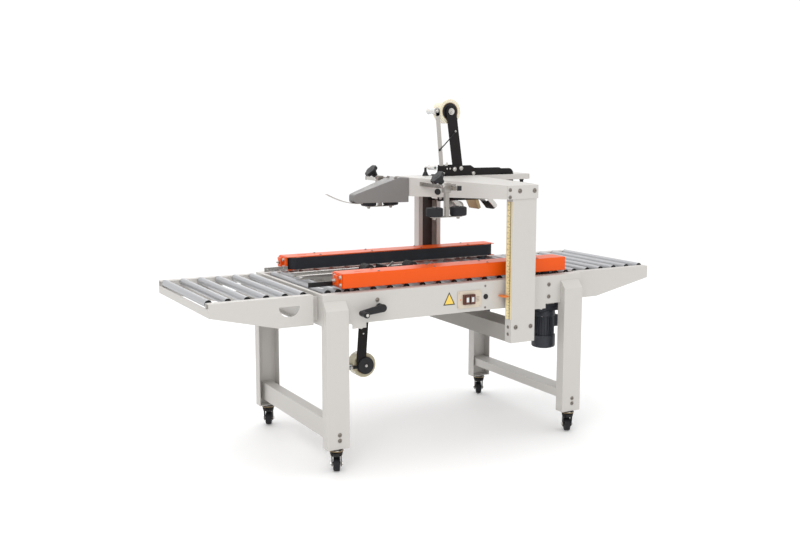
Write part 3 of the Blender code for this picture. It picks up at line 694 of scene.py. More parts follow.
def build_switch():
    face = -BED_Y
    plate = prism(rounded_box(-0.007, 0.09, 0.5146, 0.576, 0.004), 1,
        face - 0.0035, face - 0.0003, 0.0009)
    rim = cut(prism(rounded_box(0.0125, 0.061, 0.528, 0.564, 0.003), 1,
        face - 0.0125, face - 0.003, 0.0012),
        *(block(x, x + 0.0198, face - 0.02, face - 0.0045, 0.5315, 0.5605, 0.0)
        for x in (0.016, 0.0375)))
    corners = [screw((x, face - 0.0034, z), FRONT, 0.0018)
        for x in (-0.0015, 0.0845) for z in (0.52, 0.5705)]
    lines = [block(0.069, 0.082, face - 0.0038, face - 0.003, z, z + 0.0012,
        0.0) for z in (0.536, 0.541, 0.546, 0.551)]
    lamp = turned(mm("0,0 0,2.2 1,2 1.6,1 1.8,0"), (0.004, face - 0.0034,
        0.546), FRONT, 16)
    stand_in("switch_plate", "base", [("beige", plate),
        ("bezel", rim), ("zinc", corners), ("bezel", lines),
        ("pointer", lamp)])
    for tag, x in (("start", 0.026), ("stop", 0.0475)):
        node = tag + "_button"
        low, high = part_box(node)
        key = prism(rounded_box(low.x - DX + 0.0002, high.x - DX - 0.0002,
            low.z + 0.0002, high.z - 0.0002, 0.0015), 1, low.y, high.y, 0.001,
            3)
        mark = block(x - 0.005, x + 0.005, low.y - 0.0003, low.y + 0.001,
            0.5375, 0.5545, 0.0004)
        stand_in(node, node,
            [("bezel", key), ("white_plastic", mark)])


def build_decals():
    """Blank warning triangle, without symbol or words."""
    face = -BED_Y
    sign = []
    for name, inset, proud in (("ink", 0.0, 0.0004),
            ("decal_yellow", 0.0035, 0.0006)):
        shape = [(-0.065 + 1.7 * inset, 0.531 + inset),
            (-0.017 - 1.7 * inset, 0.531 + inset),
            (-0.041, 0.5775 - 2.0 * inset)]
        sign.append((name, prism(shape, 1, face - proud, face, 0.0)))
    piece("blank_sign", "base", sign)


def build_casters():
    turn = Matrix.Rotation(math.radians(-28.0), 4, "Z")
    origin = (0, 0, 0)
    for tag, sx, sy in (("fl", -1, -1), ("fr", 1, -1), ("bl", -1, 1),
            ("br", 1, 1)):
        place = Matrix.Translation((sx * 0.484, sy * 0.31, 0.0)) @ turn
        t = 0.012         # trail of the wheel
        plate = block(-0.021, 0.021, -0.0185, 0.0185, 0.0797, 0.0827, 0.0008)
        race = turned(mm("70.5,0 70.5,21 71.2,22.8 73.5,23.6 74.2,22.8 "
            "74.2,0"), origin)
        ring = turned(mm("74.2,0 74.2,23.6 75,24.4 76.2,24.4 77,23.6 77,0"),
            origin)
        top = turned(mm("77,0 77,21.5 79.7,18.5 79.7,0"), origin)
        crown = block(-0.0168, 0.0168, -0.0175, 0.017, 0.0672, 0.0712, 0.0012)
        skirt = turned(mm("58,18 58,19.5 65.5,21.5 71.2,21.5 71.2,18"), origin,
            loop=True)
        cheek = [(-0.0165, 0.069), (0.0165, 0.069), (t + 0.0125, 0.031)]
        cheek += arc(t, 0.025, 0.0105, -10, -170, 8)
        cheek += [(t - 0.0145, 0.031)]
        sides = [prism(cheek, 0, *span(s, 0.0143, 0.0168), 0.0007)
            for s in (-1, 1)]
        axle = (bolt((0.0166, t, 0.025), RIGHT, 0.0055, 0.0035)
            + bolt((-0.0166, t, 0.025), LEFT, 0.0055, 0.0035)
            + [round_bar((-0.017, t, 0.025), RIGHT, 0.034, 0.0038)])
        screws = [screw((x, y, 0.0797), DOWN, 0.0022)
            for x in (-0.0175, 0.0175) for y in (-0.015, 0.015)]
        pedal = prism(mm("-12,70 -30,71.5 -40,66.5 -39.5,64 -30,68.5 "
            "-12,66.5"), 0, -0.0095, 0.0095, 0.0007)
        solids = [("black_paint", [plate, race, crown, skirt] + sides),
            ("brass", ring), ("zinc", [top] + axle + screws),
            ("black_plastic", pedal)]
        for bm in each(solids):
            moved(bm, place)
        stand_in("caster_fork_" + tag, "caster_" + tag, solids)
        tyre = turned(both_ways(mm("-10,17 -11,18 -11,21.5 -10,23.8 -7.5,24.9 "
            "0,25")), (0, t, 0.025), RIGHT, 48, loop=True)
        hub = turned(both_ways(mm("-12.5,4.3 -12.5,7.5 -8,9 -7.5,15 "
            "-9.8,17.1")), (0, t, 0.025), RIGHT, 32, loop=True)
        stand_in("caster_wheel_" + tag, "wheel_" + tag,
            [("rubber", moved(tyre, place)),
            ("black_plastic", moved(hub, place))])


# ------ belt carriages

def build_carriages():
    x0, x1 = HOUSE_X
    y_in, y_out = HOUSE_Y
    z0, z1 = HOUSE_Z
    for tag, flip in (("front", False), ("rear", True)):
        side = mirror_y if flip else (lambda bm: bm)
        body = "carriage_" + tag
        wall = 0.0025
        shell = (arc(-y_out + 0.003, z1 - 0.003, 0.003, 90, 180, 4)
            + arc(-y_out + 0.003, z0 + 0.003, 0.003, 180, 270, 4)
            + [(-y_in, z0), (-y_in, z0 + wall)] + [(-y_out + wall, z0 + wall),
            (-y_out + wall, z1 - wall), (-y_in, z1 - wall), (-y_in, z1)])
        shell = cut(prism(shell, 0, x0, x1, 0.0004, 1),
            prism(stadium((x0 + 0.062, -0.243), (x0 + 0.092, -0.243), 0.0035),
            2, z1 - 0.01, z1 + 0.01))
        end = block(x1 - wall, x1 + 0.0002, -y_out + 0.001, -y_in - 0.026,
            z0 + 0.001, z1 - 0.001, 0.0006)
        near = block(x0 - 0.0002, x0 + wall, -y_out + 0.001, -y_in - 0.006,
            z0 + 0.001, z1 - 0.001, 0.0006)
        lips = [block(x0 + 0.03, x1 - 0.03, -y_in - 0.0015, -y_in + 0.0005, z,
            z + 0.0035, 0.0005) for z in (z0 + 0.0002, z1 - 0.0037)]
        mount = [block(x0 - 0.0045, x0, -0.276, -0.206, 0.619, 0.664, 0.001),
            block(x0 - 0.014, x0 - 0.004, -0.262, -0.234, 0.626, 0.66, 0.0012)]
        steel = []
        for y in (-0.27, -0.226):
            for z in (0.6285, 0.654):
                steel += bolt((x0 - 0.0045, y, z), LEFT, 0.0058, 0.0045)
        steel += [round_bar((x0 - 0.0255, -0.248, 0.643), RIGHT, 0.014,
            0.0035), hexagon((x0 - 0.014, -0.248, 0.643), LEFT, 0.0, 0.005,
            0.0068)]
        lids = [screw((x, y, z1), UP, 0.0032) for x in (-0.3, -0.08, 0.14,
            0.36) for y in (-0.268, -0.212)]
        for x in ROD_X:
            steel.append(block(x - 0.00275, x + 0.00275, -0.24, -0.214, ROD_Z,
                z0 + 0.001, 0.0006))
            steel.append(turned(between(0, 0.062, mm("0,9.3 0,14.2 0.8,15")),
                (x, -0.266, ROD_Z), BACK, 32, loop=True))
        drums = [round_bar((x, -DRUM_Y, z0 + 0.003), UP, 0.044, 0.0309, 0.0008,
            48) for x in DRUM_X]
        backing = block(DRUM_X[0] + 0.012, DRUM_X[1] - 0.012, -0.1986, -0.1939,
            z0 + 0.006, z1 - 0.006, 0.0006)
        guide = block(-0.532, x0 + 0.001, -0.2045, -y_in, z0 + 0.0005, 0.633,
            0.001)
        guide_screws = [screw((x, -y_in, 0.625), BACK, 0.0026)
            for x in (-0.52, -0.455)]
        solids = [("orange", [shell, end, near] + lips[1:] + mount),
            ("cream_grey", lips[:1]), ("zinc", steel), ("bolt", lids),
            ("steel_z", drums), ("steel_x", backing),
            ("black_plastic" if tag == "front" else "zinc", [guide]),
            ("zinc", guide_screws)]
        for bm in each(solids):
            side(bm)
        stand_in("belt_housing_" + tag, body, solids)
        build_belt(tag, side, body)
        build_motor(tag, side, body)


def build_belt(tag, side, body):
    z0, z1 = HOUSE_Z[0] + 0.0034, HOUSE_Z[1] - 0.0034
    ends = ((DRUM_X[0], -DRUM_Y), (DRUM_X[1], -DRUM_Y))
    outer = stadium(*ends, 0.0343, 28)
    inner = stadium(*ends, 0.0313, 28)
    bm = bmesh.new()
    rows = []
    for loop, z in ((outer, z0 + 0.0006), (outer, z1 - 0.0006), (None, z1),
            (inner, z1), (inner, z0), (None, z0)):
        if loop is None:
            loop = stadium(*ends, 0.0338, 28)
        rows.append([bm.verts.new((x, y, z)) for x, y in loop])
    for a, b in zip(rows, rows[1:] + rows[:1]):
        for i in range(len(a)):
            j = (i + 1) % len(a)
            bm.faces.new((a[i], a[j], b[j], b[i]))
    bmesh.ops.recalc_face_normals(bm, faces=bm.faces)
    stand_in("drive_belt_" + tag, body, [("belt", side(bm))])


def build_motor(tag, side, body):
    mx, my = MOTOR_XY
    y = -my
    axis = (mx, y, 0)
    fins = []
    for k in range(26):
        # radius and share of the pitch at the corners of one fin
        for r, d in ((0.0365, 0.0), (0.0365, 0.42), (0.0405, 0.5),
                (0.0405, 0.92)):
            turn = (2 * math.pi * k / 26) + d * 2 * math.pi / 26
            fins.append((mx + r * math.cos(turn), y + r * math.sin(turn)))
    casting = [prism(fins, 2, 0.366, 0.448, 0.0),
        turned(mm("440,0 440,41.5 443,43 456,43 461,40 461,0"), axis,
        sides=48), centred(mx, y, 0.04, 0.04, 0.46, 0.545, 0.0045, 3),
        turned(mm("543,0 543,24 549,22.5 560,20 615.5,17.8 615.5,0"), axis,
        sides=32)]
    for sy in (-1, 1):
        casting.append(centred(mx, y + sy * 0.04, 0.03, 0.0015, 0.472, 0.532,
            0.001))
    casting.append(block(mx + 0.03, mx + 0.054, y - 0.022, y + 0.022, 0.395,
        0.44, 0.003, 3))
    cowl = turned(mm("318,0 318,37 320,42 324,45 364,45 366,44 366,0"), axis,
        sides=56)
    slots = []
    for k in range(5):
        r = 0.01 + 0.0055 * k
        slots.append(turned(between(0.3172, 0.319, [(0, r), (0, r + 0.0024)]),
            axis, loop=True))
    trim = []
    for sx in (-1, 1):
        for sy in (-1, 1):
            trim.append(screw((mx + sx * 0.031, y + sy * 0.031, 0.545), UP,
                0.0032))
            trim.append(screw((mx + sx * 0.02695, y + sy * 0.02695, 0.4405),
                DOWN, 0.0024))
    for z in (0.402, 0.433):
        for dy in (0.016, -0.016):
            trim.append(screw((mx + 0.054, y + dy, z), RIGHT, 0.002))
    label = block(mx - 0.017, mx + 0.017, y - 0.042, y - 0.0402, 0.488, 0.516,
        0.0003)
    tail = turned(mm("0,0 0,6.5 6,6.5 7,5 14,4.5 14,0"),
        (mx + 0.042, y - 0.006, 0.4395), sides=20)
    solids = [("motor", casting + [cowl]), ("black_plastic", slots + [tail]),
        ("zinc", trim + [label])]
    for bm in each(solids):
        side(bm)
    stand_in("belt_motor_" + tag, body, solids)


def build_crank():
    x, z = CRANK
    tx, tz = CRANK_TIP
    length = math.hypot(tx - x, tz - z)
    along = math.atan2(tz - z, tx - x)
    shape = arc(0, 0, 0.0135, 90, 270, 12) + arc(length, 0, 0.0095, -90, 90,
        12)
    arm = prism(shape, 1, -0.337, -0.3265, 0.0022, 3)
    moved(arm, Matrix.Translation((x, 0, z)) @ Matrix.Rotation(-along, 4, "Y"))
    hub = turned(mm("0,0 0,12.5 4,12.5 6,10.5 24,10 32,11 33.5,10 33.5,0"),
        (x, -BED_Y - 0.0006, z), FRONT, 36)
    rest = round_bar((x, -0.277, z), FRONT, 0.027, 0.006)
    collar = round_bar((x, -0.277, z), FRONT, 0.013, 0.018)
    grip = turned(mm("0,0 0,8.5 2,9.8 6,10 12,8.8 28,10.4 34,10.6 37.5,9.2 "
        "38.5,5 38.5,0"), (tx, -0.3355, tz), FRONT, 32)
    tip = screw((tx, -0.3736, tz), FRONT, 0.0036)
    stand_in("width_crank", "crank",
        [("black_plastic", [arm, hub, grip]), ("zinc", [rest, collar, tip])])


# ------ gantry

def on_press_bar(half, y0, y1, edge, steps=2):
    """Square block about the press bar."""
    return block(PRESS_X - half, PRESS_X + half, y0, y1, PRESS_Z - half,
        PRESS_Z + half, edge, steps)


def build_gantry():
    dress("column_front", "cream")
    dress("column_rear", "cream")
    # the lower beam gets the darker copy of the cream, as painted shade
    dress("lower_beam", "cream_painted_shade")
    dress("head_frame", "cream", 0.001)
    fittings = []
    for sy in (-1, 1):
        out = (0, sy, 0)
        for x, z in ((0.208, 0.4365), (0.273, 0.435)):
            fittings.append(screw((x, sy * COL_Y[1], z), out, 0.0056))
        for x, z, r in mm("215,925.5,5.6 278,925,5.6 173.5,930,4.4 "
                "173.5,904.5,4.4"):
            fittings.append(screw((x, sy * 0.3575, z), out, r))
        for z in (0.436, 0.41):
            for x, d in ((COL_X[0], -1), (COL_X[1], 1)):
                fittings.append(screw((x, sy * 0.3345, z), (d, 0, 0), 0.0042))
    piece("column_screws", "gantry", [("bolt", fittings)])

    # dark sheets just inside each column face: painted shade of the hollow
    # column
    strips = []
    for sy in (-1, 1):
        strips.append(block(COL_X[0] + 0.022, COL_X[1] - 0.022,
            *span(sy, 0.3475, 0.3505), 0.445, 0.89, 0.0005))
    piece("column_slot_shade", "gantry", [("painted_slot_shade", strips)])

    x = COL_X[0]
    scale = block(x - 0.0008, x, -0.3515, -0.319, SCALE_Z, 0.887, 0.0002, 1)
    piece("column_scale", "gantry", [("ruler", scale)])
    facing = Matrix(((0, 0, -1, 0), (-1, 0, 0, 0), (0, 1, 0, 0), (0, 0, 0, 1)))
    for k in range(1, 42, 2):
        z = SCALE_Z + 0.01 * k
        curve = bpy.data.curves.new("digits", "FONT")
        curve.body = str(k)
        curve.size = 0.0085
        curve.align_x = "CENTER"
        curve.align_y = "CENTER"
        curve.extrude = 0.00004
        curve.resolution_u = 2
        flat = show("digits", curve)
        graph = bpy.context.evaluated_depsgraph_get()
        mesh = bpy.data.meshes.new_from_object(flat.evaluated_get(graph))
        bpy.data.objects.remove(flat)
        bm = bmesh.new()
        bm.from_mesh(mesh)
        moved(bm, Matrix.Translation((x - 0.00084, -0.327, z + 0.0005))
            @ facing)
        piece("scale_number_%02d" % k, "gantry", [("ink", bm)])

    # nickelled square tube over the press bar, with black end plugs
    bars = []
    plugs = []
    for sy in (-1, 1):
        y0, y1 = span(sy, 0.056, 0.3452)
        bars.append(cut(on_press_bar(0.00775, y0, y1, 0.0011, 3),
            on_press_bar(0.0074, y0 - 0.1, y1 + 0.1, 0.0)))
        plugs.append(on_press_bar(0.00815, *span(sy, 0.3448, 0.35), 0.0012, 3))
    piece("press_bar_tube", "gantry", [("steel_y", bars)])
    piece("press_bar_plugs", "gantry", [("black_plastic", plugs)])

    # black cap nut on each slanted arm, cone knob and stop on the tray
    caps = [turned(mm("0,0 0,11.5 3,11.2 5.5,9.5 7,5.5 7.4,0"),
        (0.0054, sy * 0.1432, 0.9165), (-0.7946, sy * 0.607, 0.0), 32)
        for sy in (-1, 1)]
    cone = turned(mm("0,0 0,12 2,11.8 10,8.5 16,5 24,4.6 29,5 30.5,4 30.5,0"),
        (0.045, 0.015, 0.965), UP, 32)
    stop = turned(mm("0,0 0,8.5 4,8.5 5,7 22,7 24,9 30,9 31,8 31,0"),
        (0.44, -0.046, 0.9455), DOWN, 28)
    piece("head_knobs", "gantry", [("black_plastic", caps + [cone]),
        ("rubber", stop)])

    build_nose()


def narrowed(bm, start, stop, scale):
    """Draw a solid in towards the middle between two places along x."""
    for v in bm.verts:
        part_way = (v.co.x - start) / (stop - start)
        v.co.y *= 1.0 - (1.0 - scale) * min(1.0, max(0.0, part_way))
    return bm


def build_nose():
    end = -0.0623
    shell = [(end, 0.963), (-0.097, 0.966)]
    shell += [(-0.263, 0.909)] + arc(-0.262, 0.9, 0.008, 120, 180, 4)
    shell += arc(-0.261, 0.8855, 0.009, 180, 262, 5) + [(end, 0.875)]
    outer = prism(shell, 1, -0.05, 0.05, 0.002, 3)
    inside = prism([(end + 0.01, 0.961), (-0.0975, 0.9638), (-0.262, 0.907),
        (-0.2675, 0.8985), (-0.2675, 0.886), (-0.2605, 0.8787),
        (end + 0.01, 0.877)], 1, -0.048, 0.048)
    outer = cut(narrowed(outer, end, -0.27, 0.44),
        narrowed(inside, end, -0.27, 0.44))
    tongue = [(-0.235, 0.8745)]
    for i in range(13):
        t = i / 12.0
        tongue.append((-0.255 - 0.115 * t, 0.8745 + 0.0365 * t ** 1.7))
    fold = narrowed(ribbon(tongue, 0.042, 0.0022), -0.235, -0.37, 0.35)
    tops = [screw((-0.106, sy * 0.03, 0.964), (-0.28, 0, 0.96), 0.0046)
        for sy in (-1, 1)]
    stand_in("head_nose", "gantry", [("grey", outer),
        ("steel_z", fold), ("bolt", tops)])


def build_presses():
    for tag, y in PRESS_Y.items():
        sleeve = cut(centred(PRESS_X, y, 0.0115, 0.014, 0.931, 0.954, 0.0015,
            3), on_press_bar(0.0082, y - 0.1, y + 0.1, 0.0))
        guide = cut(block(POST_X - 0.0135, POST_X + 0.0115, y - 0.0115,
            y + 0.0115, 0.925, 0.958, 0.0015, 3), centred(POST_X, y, 0.008,
            0.008, 0.9, 1.0, 0.0))
        lean = Vector((-1.0, 0.0, 1.0)).normalized()
        foot = Vector((-0.057, y, 0.949))
        stem = round_bar(foot - lean * 0.002, lean, 0.036, 0.0045)
        nut = hexagon(foot, lean, 0.0005, 0.007, 0.012)
        boss = round_bar(foot + lean * 0.007, lean, 0.009, 0.0092)
        hub = turned(mm("14,0 14,9 16,10 28,13.5 36,17 36,0"), foot, lean, 32)
        knob = lobed(foot, lean, 0.0335, 0.048, 0.0272)
        dish = turned(mm("47.8,0 47.8,10 48.6,9.5 48.6,0"), foot, lean, 28)
        name = "press_clamp_" + tag
        stand_in(name, name, [("steel_z", [sleeve, guide]),
            ("zinc", [stem, nut, boss]), ("black_plastic", [hub, knob, dish])])

        low, high = 0.8437, 0.8747        # bottom and top of the wheels
        post = centred(POST_X, y, 0.0075, 0.0075, 0.8405, 0.9545, 0.0012, 3)
        cap = centred(POST_X, y, 0.0077, 0.0077, 0.954, 0.9575, 0.0012, 3)
        bar = prism(rounded_box(POST_X - 0.06, POST_X + 0.06, y - 0.0125,
            y + 0.0125, 0.006), 2, 0.84, low - 0.0004, 0.0006)
        metal = [post, bar]
        for number, step in ((1, -0.048), (2, 0.048)):
            at = (POST_X + step, y, 0)
            metal += [hexagon(at, UP, 0.8338, 0.8402, 0.0068),
                round_bar((at[0], y, 0.8325), UP, high + 0.004 - 0.8325,
                0.0037), hexagon(at, UP, high + 0.0004, high + 0.0034, 0.0065)]
            rim = turned(mm("843.7,4.4 843.7,25 845.2,28.5 847.7,30 870.7,30 "
                "873.2,28.5 874.7,25 873.5,21 873.5,12 874.7,10.5 874.7,4.4"),
                at, UP, 56, loop=True)
            name = "press_wheel_%s_%d" % (tag, number)
            stand_in(name, name, [("rubber", rim)])
        name = "press_post_" + tag
        stand_in(name, name, [("steel_z", metal), ("black_plastic",
            cap)])


# ------ tape heads

HEAD_INNER, HEAD_OUTER = 0.0345, 0.0375   # faces of the side plates


def tape_roll(name, body, centre, material):
    """Wound tape on its card core and plastic spool."""
    winding = both_ways(mm("-23.8,33.2 -24.8,34 -25,40 -24.8,44.8 -24,45.5"))
    core = both_ways([(-0.0244, 0.0312), (-0.0244, 0.0334)])
    wheel = both_ways(mm("-24.5,5.2 -24.5,27 -23.5,29 -21.5,29.5 -21.5,31.2"))
    stud = mm("-25.8,0 -25.8,3.6 -24,4.2 -24,0")
    x, z = centre
    spool = [across(wheel, x, z, 56, True)]
    for k in range(6):
        turn = 2 * math.pi * k / 6
        spool.append(across(stud, x + 0.019 * math.cos(turn), z + 0.019
            * math.sin(turn), 16))
    stand_in(name, body, [(material, across(winding, x, z, 72, True)),
        ("card", across(core, x, z, 72, True)), ("black_plastic", spool)])


def swing_arm(name, pivot, tip, radius, skin, half=0.0265):
    """Pivot tube, two cheeks with torsion spring, and the roller."""
    inside = 0.0335
    hub = across(both_ways([(-inside, 0.0054), (-inside, 0.01)]), *pivot, 28,
        True)
    cheeks = [cut(prism(stadium(pivot, tip, 0.0088), 1, *span(s, 0.03, inside),
        0.0005), pin(-0.1, 0.1, 0.0054, *pivot, 24)) for s in (-1, 1)]
    steps = 9
    grooves = [(-half, 0.0)]
    for k in range(steps):
        y = -half + 2 * half * k / steps
        w = 2 * half / steps
        grooves += [(y + 0.0006, radius - 0.001), (y + 0.0014, radius),
            (y + w - 0.0014, radius), (y + w - 0.0006, radius - 0.001)]
    grooves.append((half, 0.0))
    drum = across(grooves, *tip, 40)
    ends = [pin(-inside, inside, 0.0045, *tip)]
    ends += [hexagon((tip[0], 0, tip[1]), (0, s, 0), 0.033, 0.034, 0.006)
        for s in (-1, 1)]
    spring = helix(lambda a: ((pivot[0], -0.01 + 0.02 * a, pivot[1]), RIGHT,
        UP), 0.0112, 6, 0.0011, 8)
    stand_in(name, name, [("zinc", [hub] + cheeks + ends),
        (skin, drum), ("zinc", spring)])


def guide_roller(x, z, low, high, radius):
    """White plastic roller with flanges, on a steel pin."""
    rim = [(0.0, 0.0), (0.0, radius), (0.0012, radius + 0.0012),
        (0.0028, radius + 0.0012), (0.0036, radius)]
    return across(between(low, high, rim), x, z, 36)


def hub_nut(x, z, y):
    """Big hexagon nut with washer that keeps a tape roll on, facing front."""
    return [round_bar((x, y, z), FRONT, 0.0014, 0.0125, 0.0004, 28),
        hexagon((x, y, z), FRONT, 0.0012, 0.0078, 0.0092),
        round_bar((x, y - 0.006, z), FRONT, 0.005, 0.0046)]


def pin_heads(spots, radius):
    """Screw heads on both outer faces of a tape head."""
    return [screw((x, s * HEAD_OUTER, z), (0, s, 0), radius)
        for x, z, _ in spots for s in (-1, 1)]


def build_top_head():
    inner, outer = HEAD_INNER, HEAD_OUTER
    shape = [(0.068, 0.872), (0.068, 0.999)] + arc(0.072, 0.999, 0.004, 180,
        90, 3)
    shape += mm("212,1003 233,990.5 240,989 378,988") + arc(0.385, 0.966,
        0.022, 85, 0, 7)
    shape += [(0.407, 0.872)]
    far = mm("68,872 68,962 108,968 112,1003") + shape[6:]
    plates = [prism(shape, 1, -outer, -inner, 0.0006), prism(far, 1, inner,
        outer, 0.0006)]
    lugs = []
    for x0 in (0.09, 0.35):
        for s in (-1, 1):
            lugs.append(block(x0, x0 + 0.04, *span(s, outer - 0.0005, 0.05),
                0.9653, 0.968, 0.0007))
    x, z = TOP_ROLL
    arm = [prism(stadium((0.1585, 0.985), (x, z), 0.0215, 14), 1, -inner
        - 0.0005, -0.0305, 0.0009)]
    carrier = prism(mm("218,905 238,905 262,840 252,835"), 1, -inner - 0.0005,
        inner + 0.0005, 0.0008)
    blade = prism(mm("250,842 254,836 264,840 260,847"), 1, -0.03, 0.03,
        0.0003)
    strip = prism(mm("79,985 95.5,985 75.5,1212 58,1212"), 1, -inner - 0.0005,
        -0.0322, 0.0007)
    collar = prism(stadium((0.0668, 1.196), (0.066, 1.207), 0.011), 1, -inner
        - 0.0005, -0.0322, 0.0007)
    link = tube(mm("76.5,-36.2,1062 99,-36.8,1083 122.5,-36.8,1106 "
        "144,-36.2,1130"), 0.0022)
    link_ends = [round_bar((0.0765, -0.0335, 1.062), FRONT, 0.005, 0.0044),
        round_bar((0.144, -0.033, 1.13), FRONT, 0.005, 0.0038)]
    rollers = [guide_roller(0.058, 0.996, -0.0345, 0.01, 0.0078),
        guide_roller(0.066, 1.205, -0.03, 0.03, 0.0105)]
    through = mm("80,885,6 395,885,6 225,972,6 116,902,4.9 274,902,4.9")
    pins = [pin(-inner, inner, r, px, pz) for px, pz, r in through
        + mm("66,1205,4 58,996,4")]
    axle = pin(-0.034, 0.03, 0.0049, x, z, 24)
    heads = pin_heads(through, 0.0046)
    heads += pin_heads(mm("141.5,989.5,0 170,992.5,0"), 0.0052)
    heads += [screw((sx, -outer, sz), FRONT, 0.0022)
        for sx, sz in mm("108,992 121,992 95,976")]
    heads += [screw((0.066, -0.0348, 1.205), FRONT, 0.0042), hexagon((x, 0, z),
        BACK, 0.0254, 0.03, 0.012)]
    tab = prism(mm("97.5,1000 108,1016 114,1014 112,1000"), 1, -0.0345, -0.032,
        0.0005)
    coil = helix(lambda a: ((0.285 + 0.085 * a, 0.02, 0.962), BACK, UP),
        0.0042, 14, 0.0008, 6)
    stand_in("top_head_frame", "gantry",
        [("black_paint", plates + lugs + arm), ("brass", carrier),
        ("zinc", [blade, axle, tab, coil] + pins + heads),
        ("cream_grey", [strip, collar]), ("black_plastic", [link]
        + link_ends[:1]), ("zinc", link_ends[1:]), ("white_plastic", rollers),
        ("zinc", hub_nut(x, z, -0.0345))])


def build_low_head():
    inner, outer = HEAD_INNER, HEAD_OUTER
    shape = ([(-0.49, 0.6175)] + arc(-0.4875, 0.62, 0.0025, 180, 110, 3)
        + mm("-465,632 30,632 30,500 -370,500 -370,617"))
    plates = [prism(shape, 1, s0, s1, 0.0006) for s0, s1 in ((-outer, -inner),
        (inner, outer))]
    # bright wear strips along the top of the plates, spread at the mouth
    rails = []
    for s in (-1, 1):
        y0, y1 = span(s, inner - 0.003, outer + 0.0105)
        t0, t1 = span(s, 0.04, 0.046)
        rails.append(prism([(-0.47, y0), (-0.47, y1), (0.03, y1), (0.03, y0)],
            2, 0.6305, 0.6328, 0.0006))
        mouth = [(-0.47, y0), (-0.47, y1), (-0.505, t1), (-0.508, s * 0.043),
            (-0.505, t0)]
        rails.append(prism(mouth, 2, 0.63, 0.6323, 0.0005))
    x, z = LOW_ROLL
    arm = prism(stadium((x - 0.001, 0.52), (x - 0.018, z + 0.02), 0.019, 14),
        1, -inner - 0.0005, -0.0305, 0.0009)
    flange = across(mm("-40,0 -40,29 -39.2,31 -37.2,32 -35.2,31 -35.2,0"), x,
        z, 56)
    ring = across(mm("-41.2,8.5 -41.2,11 -39.8,11.8 -39.8,8.5"), x, z, 40,
        True)
    bar = block(x - 0.064, x, -0.0345, -0.031, z - 0.008, z + 0.004, 0.0008)
    guard = prism(mm("-158,600 -128,600 -146,645 -156,645"), 1, -inner
        - 0.0005, inner + 0.0005, 0.0008)
    lever = prism(mm("-150,632 -134,632 -112,655.5 -118,658.5"), 1, -0.03,
        -0.0275, 0.0006)
    through = mm("-355,520,6 15,520,6 -180,515,6 -265,575,4.9 -85,575,4.9")
    pins = [pin(-inner, inner, r, px, pz) for px, pz, r in through[:3]
        + mm("-478,620.5,3") + through[3:]]
    axle = pin(-0.034, 0.03, 0.0049, x, z, 24)
    heads = pin_heads(through, 0.0046)
    heads += [screw((x - 0.0095, -0.035, 0.4), FRONT, 0.002),
        hexagon((x, 0, z), BACK, 0.0254, 0.03, 0.012),
        screw((x - 0.058, -0.0345, z - 0.002), FRONT, 0.0036)]
    stand_in("bottom_head_frame", "base",
        [("black_paint", [arm, bar, guard]), ("cream_grey", plates),
        ("black_plastic", [flange, ring]), ("steel_x", rails + [lever]),
        ("zinc", pins + heads + [axle]), ("white_plastic",
        guide_roller(x - 0.058, z - 0.002, -0.03, 0.03, 0.0078)),
        ("zinc", screw((x, -0.04, z), FRONT, 0.0034))])


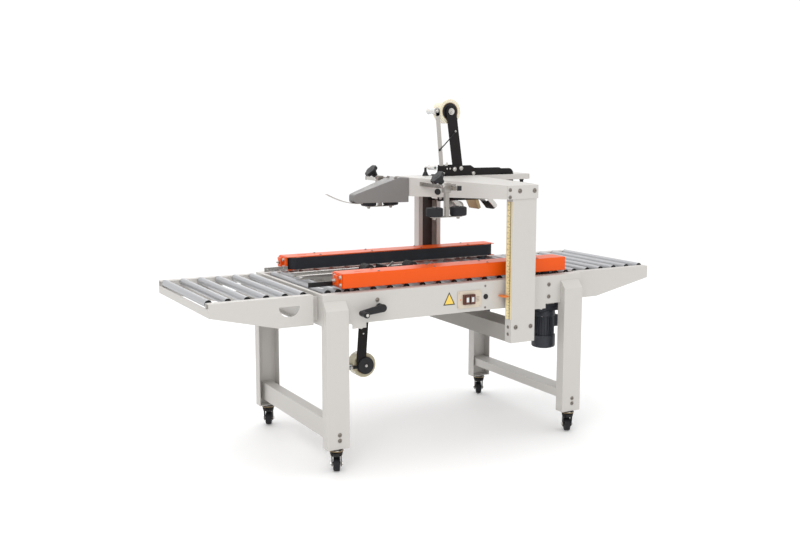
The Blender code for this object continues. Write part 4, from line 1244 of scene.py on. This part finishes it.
def build_tape_heads():
    build_top_head()
    build_low_head()
    tape_roll("top_tape_roll", "top_tape", TOP_ROLL, "tape_top")
    tape_roll("bottom_tape_roll", "bottom_tape", LOW_ROLL, "tape_low")
    for name, pivot, tip, radius, skin, half in (("top_front_arm",
            (0.116, 0.902), (0.17, 0.848), 0.02, "cream_grey", 0.0265),
            ("top_rear_arm", (0.274, 0.902), (0.328, 0.846), 0.015, "knurl",
            0.02), ("bottom_front_arm", (-0.265, 0.575), (-0.211, 0.631), 0.02,
            "knurl", 0.0265), ("bottom_rear_arm", (-0.085, 0.575),
            (-0.03, 0.631), 0.02, "knurl", 0.0265)):
        swing_arm(name, pivot, tip, radius, skin, half)


# ------ the set

def build_set():
    world = bpy.data.worlds.new("studio")
    bpy.context.scene.world = world
    world.use_nodes = True
    sky = world.node_tree.nodes["Background"]
    sky.inputs["Color"].default_value = (1.0, 1.0, 1.0, 1.0)
    sky.inputs["Strength"].default_value = 1.05
    floor_mesh = bpy.data.meshes.new("floor")
    size = 40.0
    floor_mesh.from_pydata([(-size, -size, 0), (size, -size, 0),
        (size, size, 0), (-size, size, 0)], [], [(0, 1, 2, 3)])
    floor = show("floor", floor_mesh)
    ground = Surface("floor_white", (0.97, 0.97, 0.97), 0.7, mottle=0.004,
        grain=60, bump=0.02)
    floor_mesh.materials.append(ground.material)
    for name, place, target, size, power, tint in (("key", (-2.6, -3.2, 3.6),
            (0.1, 0.0, 0.5), 2.0, 46, (1.0, 0.985, 0.96)),
            ("fill", (3.2, -2.2, 2.2), (0.0, 0.0, 0.5), 2.4, 5,
            (0.97, 0.98, 1.0)), ("top", (-0.4, 0.4, 3.8), (0.0, 0.0, 0.6), 2.6,
            24, (1, 1, 1)), ("back", (1.0, 3.4, 2.6), (0.0, 0.0, 0.6), 2.4, 16,
            (1, 1, 1))):
        light = bpy.data.lights.new(name, "AREA")
        light.shape = "SQUARE"
        light.size = size
        light.energy = power
        light.color = tint
        lamp = show(name, light)
        lamp.location = place
        aimed = Vector(target) - Vector(place)
        lamp.rotation_euler = aimed.to_track_quat("-Z", "Y").to_euler()
    camera = bpy.data.cameras.new("camera")
    camera.lens = 47.28
    camera.sensor_width = 36.0
    camera.clip_end = 100.0
    eye = show("camera", camera)
    eye.location = (-1.9265 + DX, -3.4043, 1.1922)
    eye.rotation_euler = (math.radians(90.0 - 8.287), 0.0,
        math.radians(-28.585))
    bpy.context.scene.camera = eye
    bpy.context.scene.view_settings.view_transform = "Standard"


make_materials()
build_set()
build_base()
build_switch()
build_decals()
build_rollers()
build_casters()
build_carriages()
build_crank()
build_gantry()
build_presses()
build_tape_heads()

bpy.context.view_layer.update()
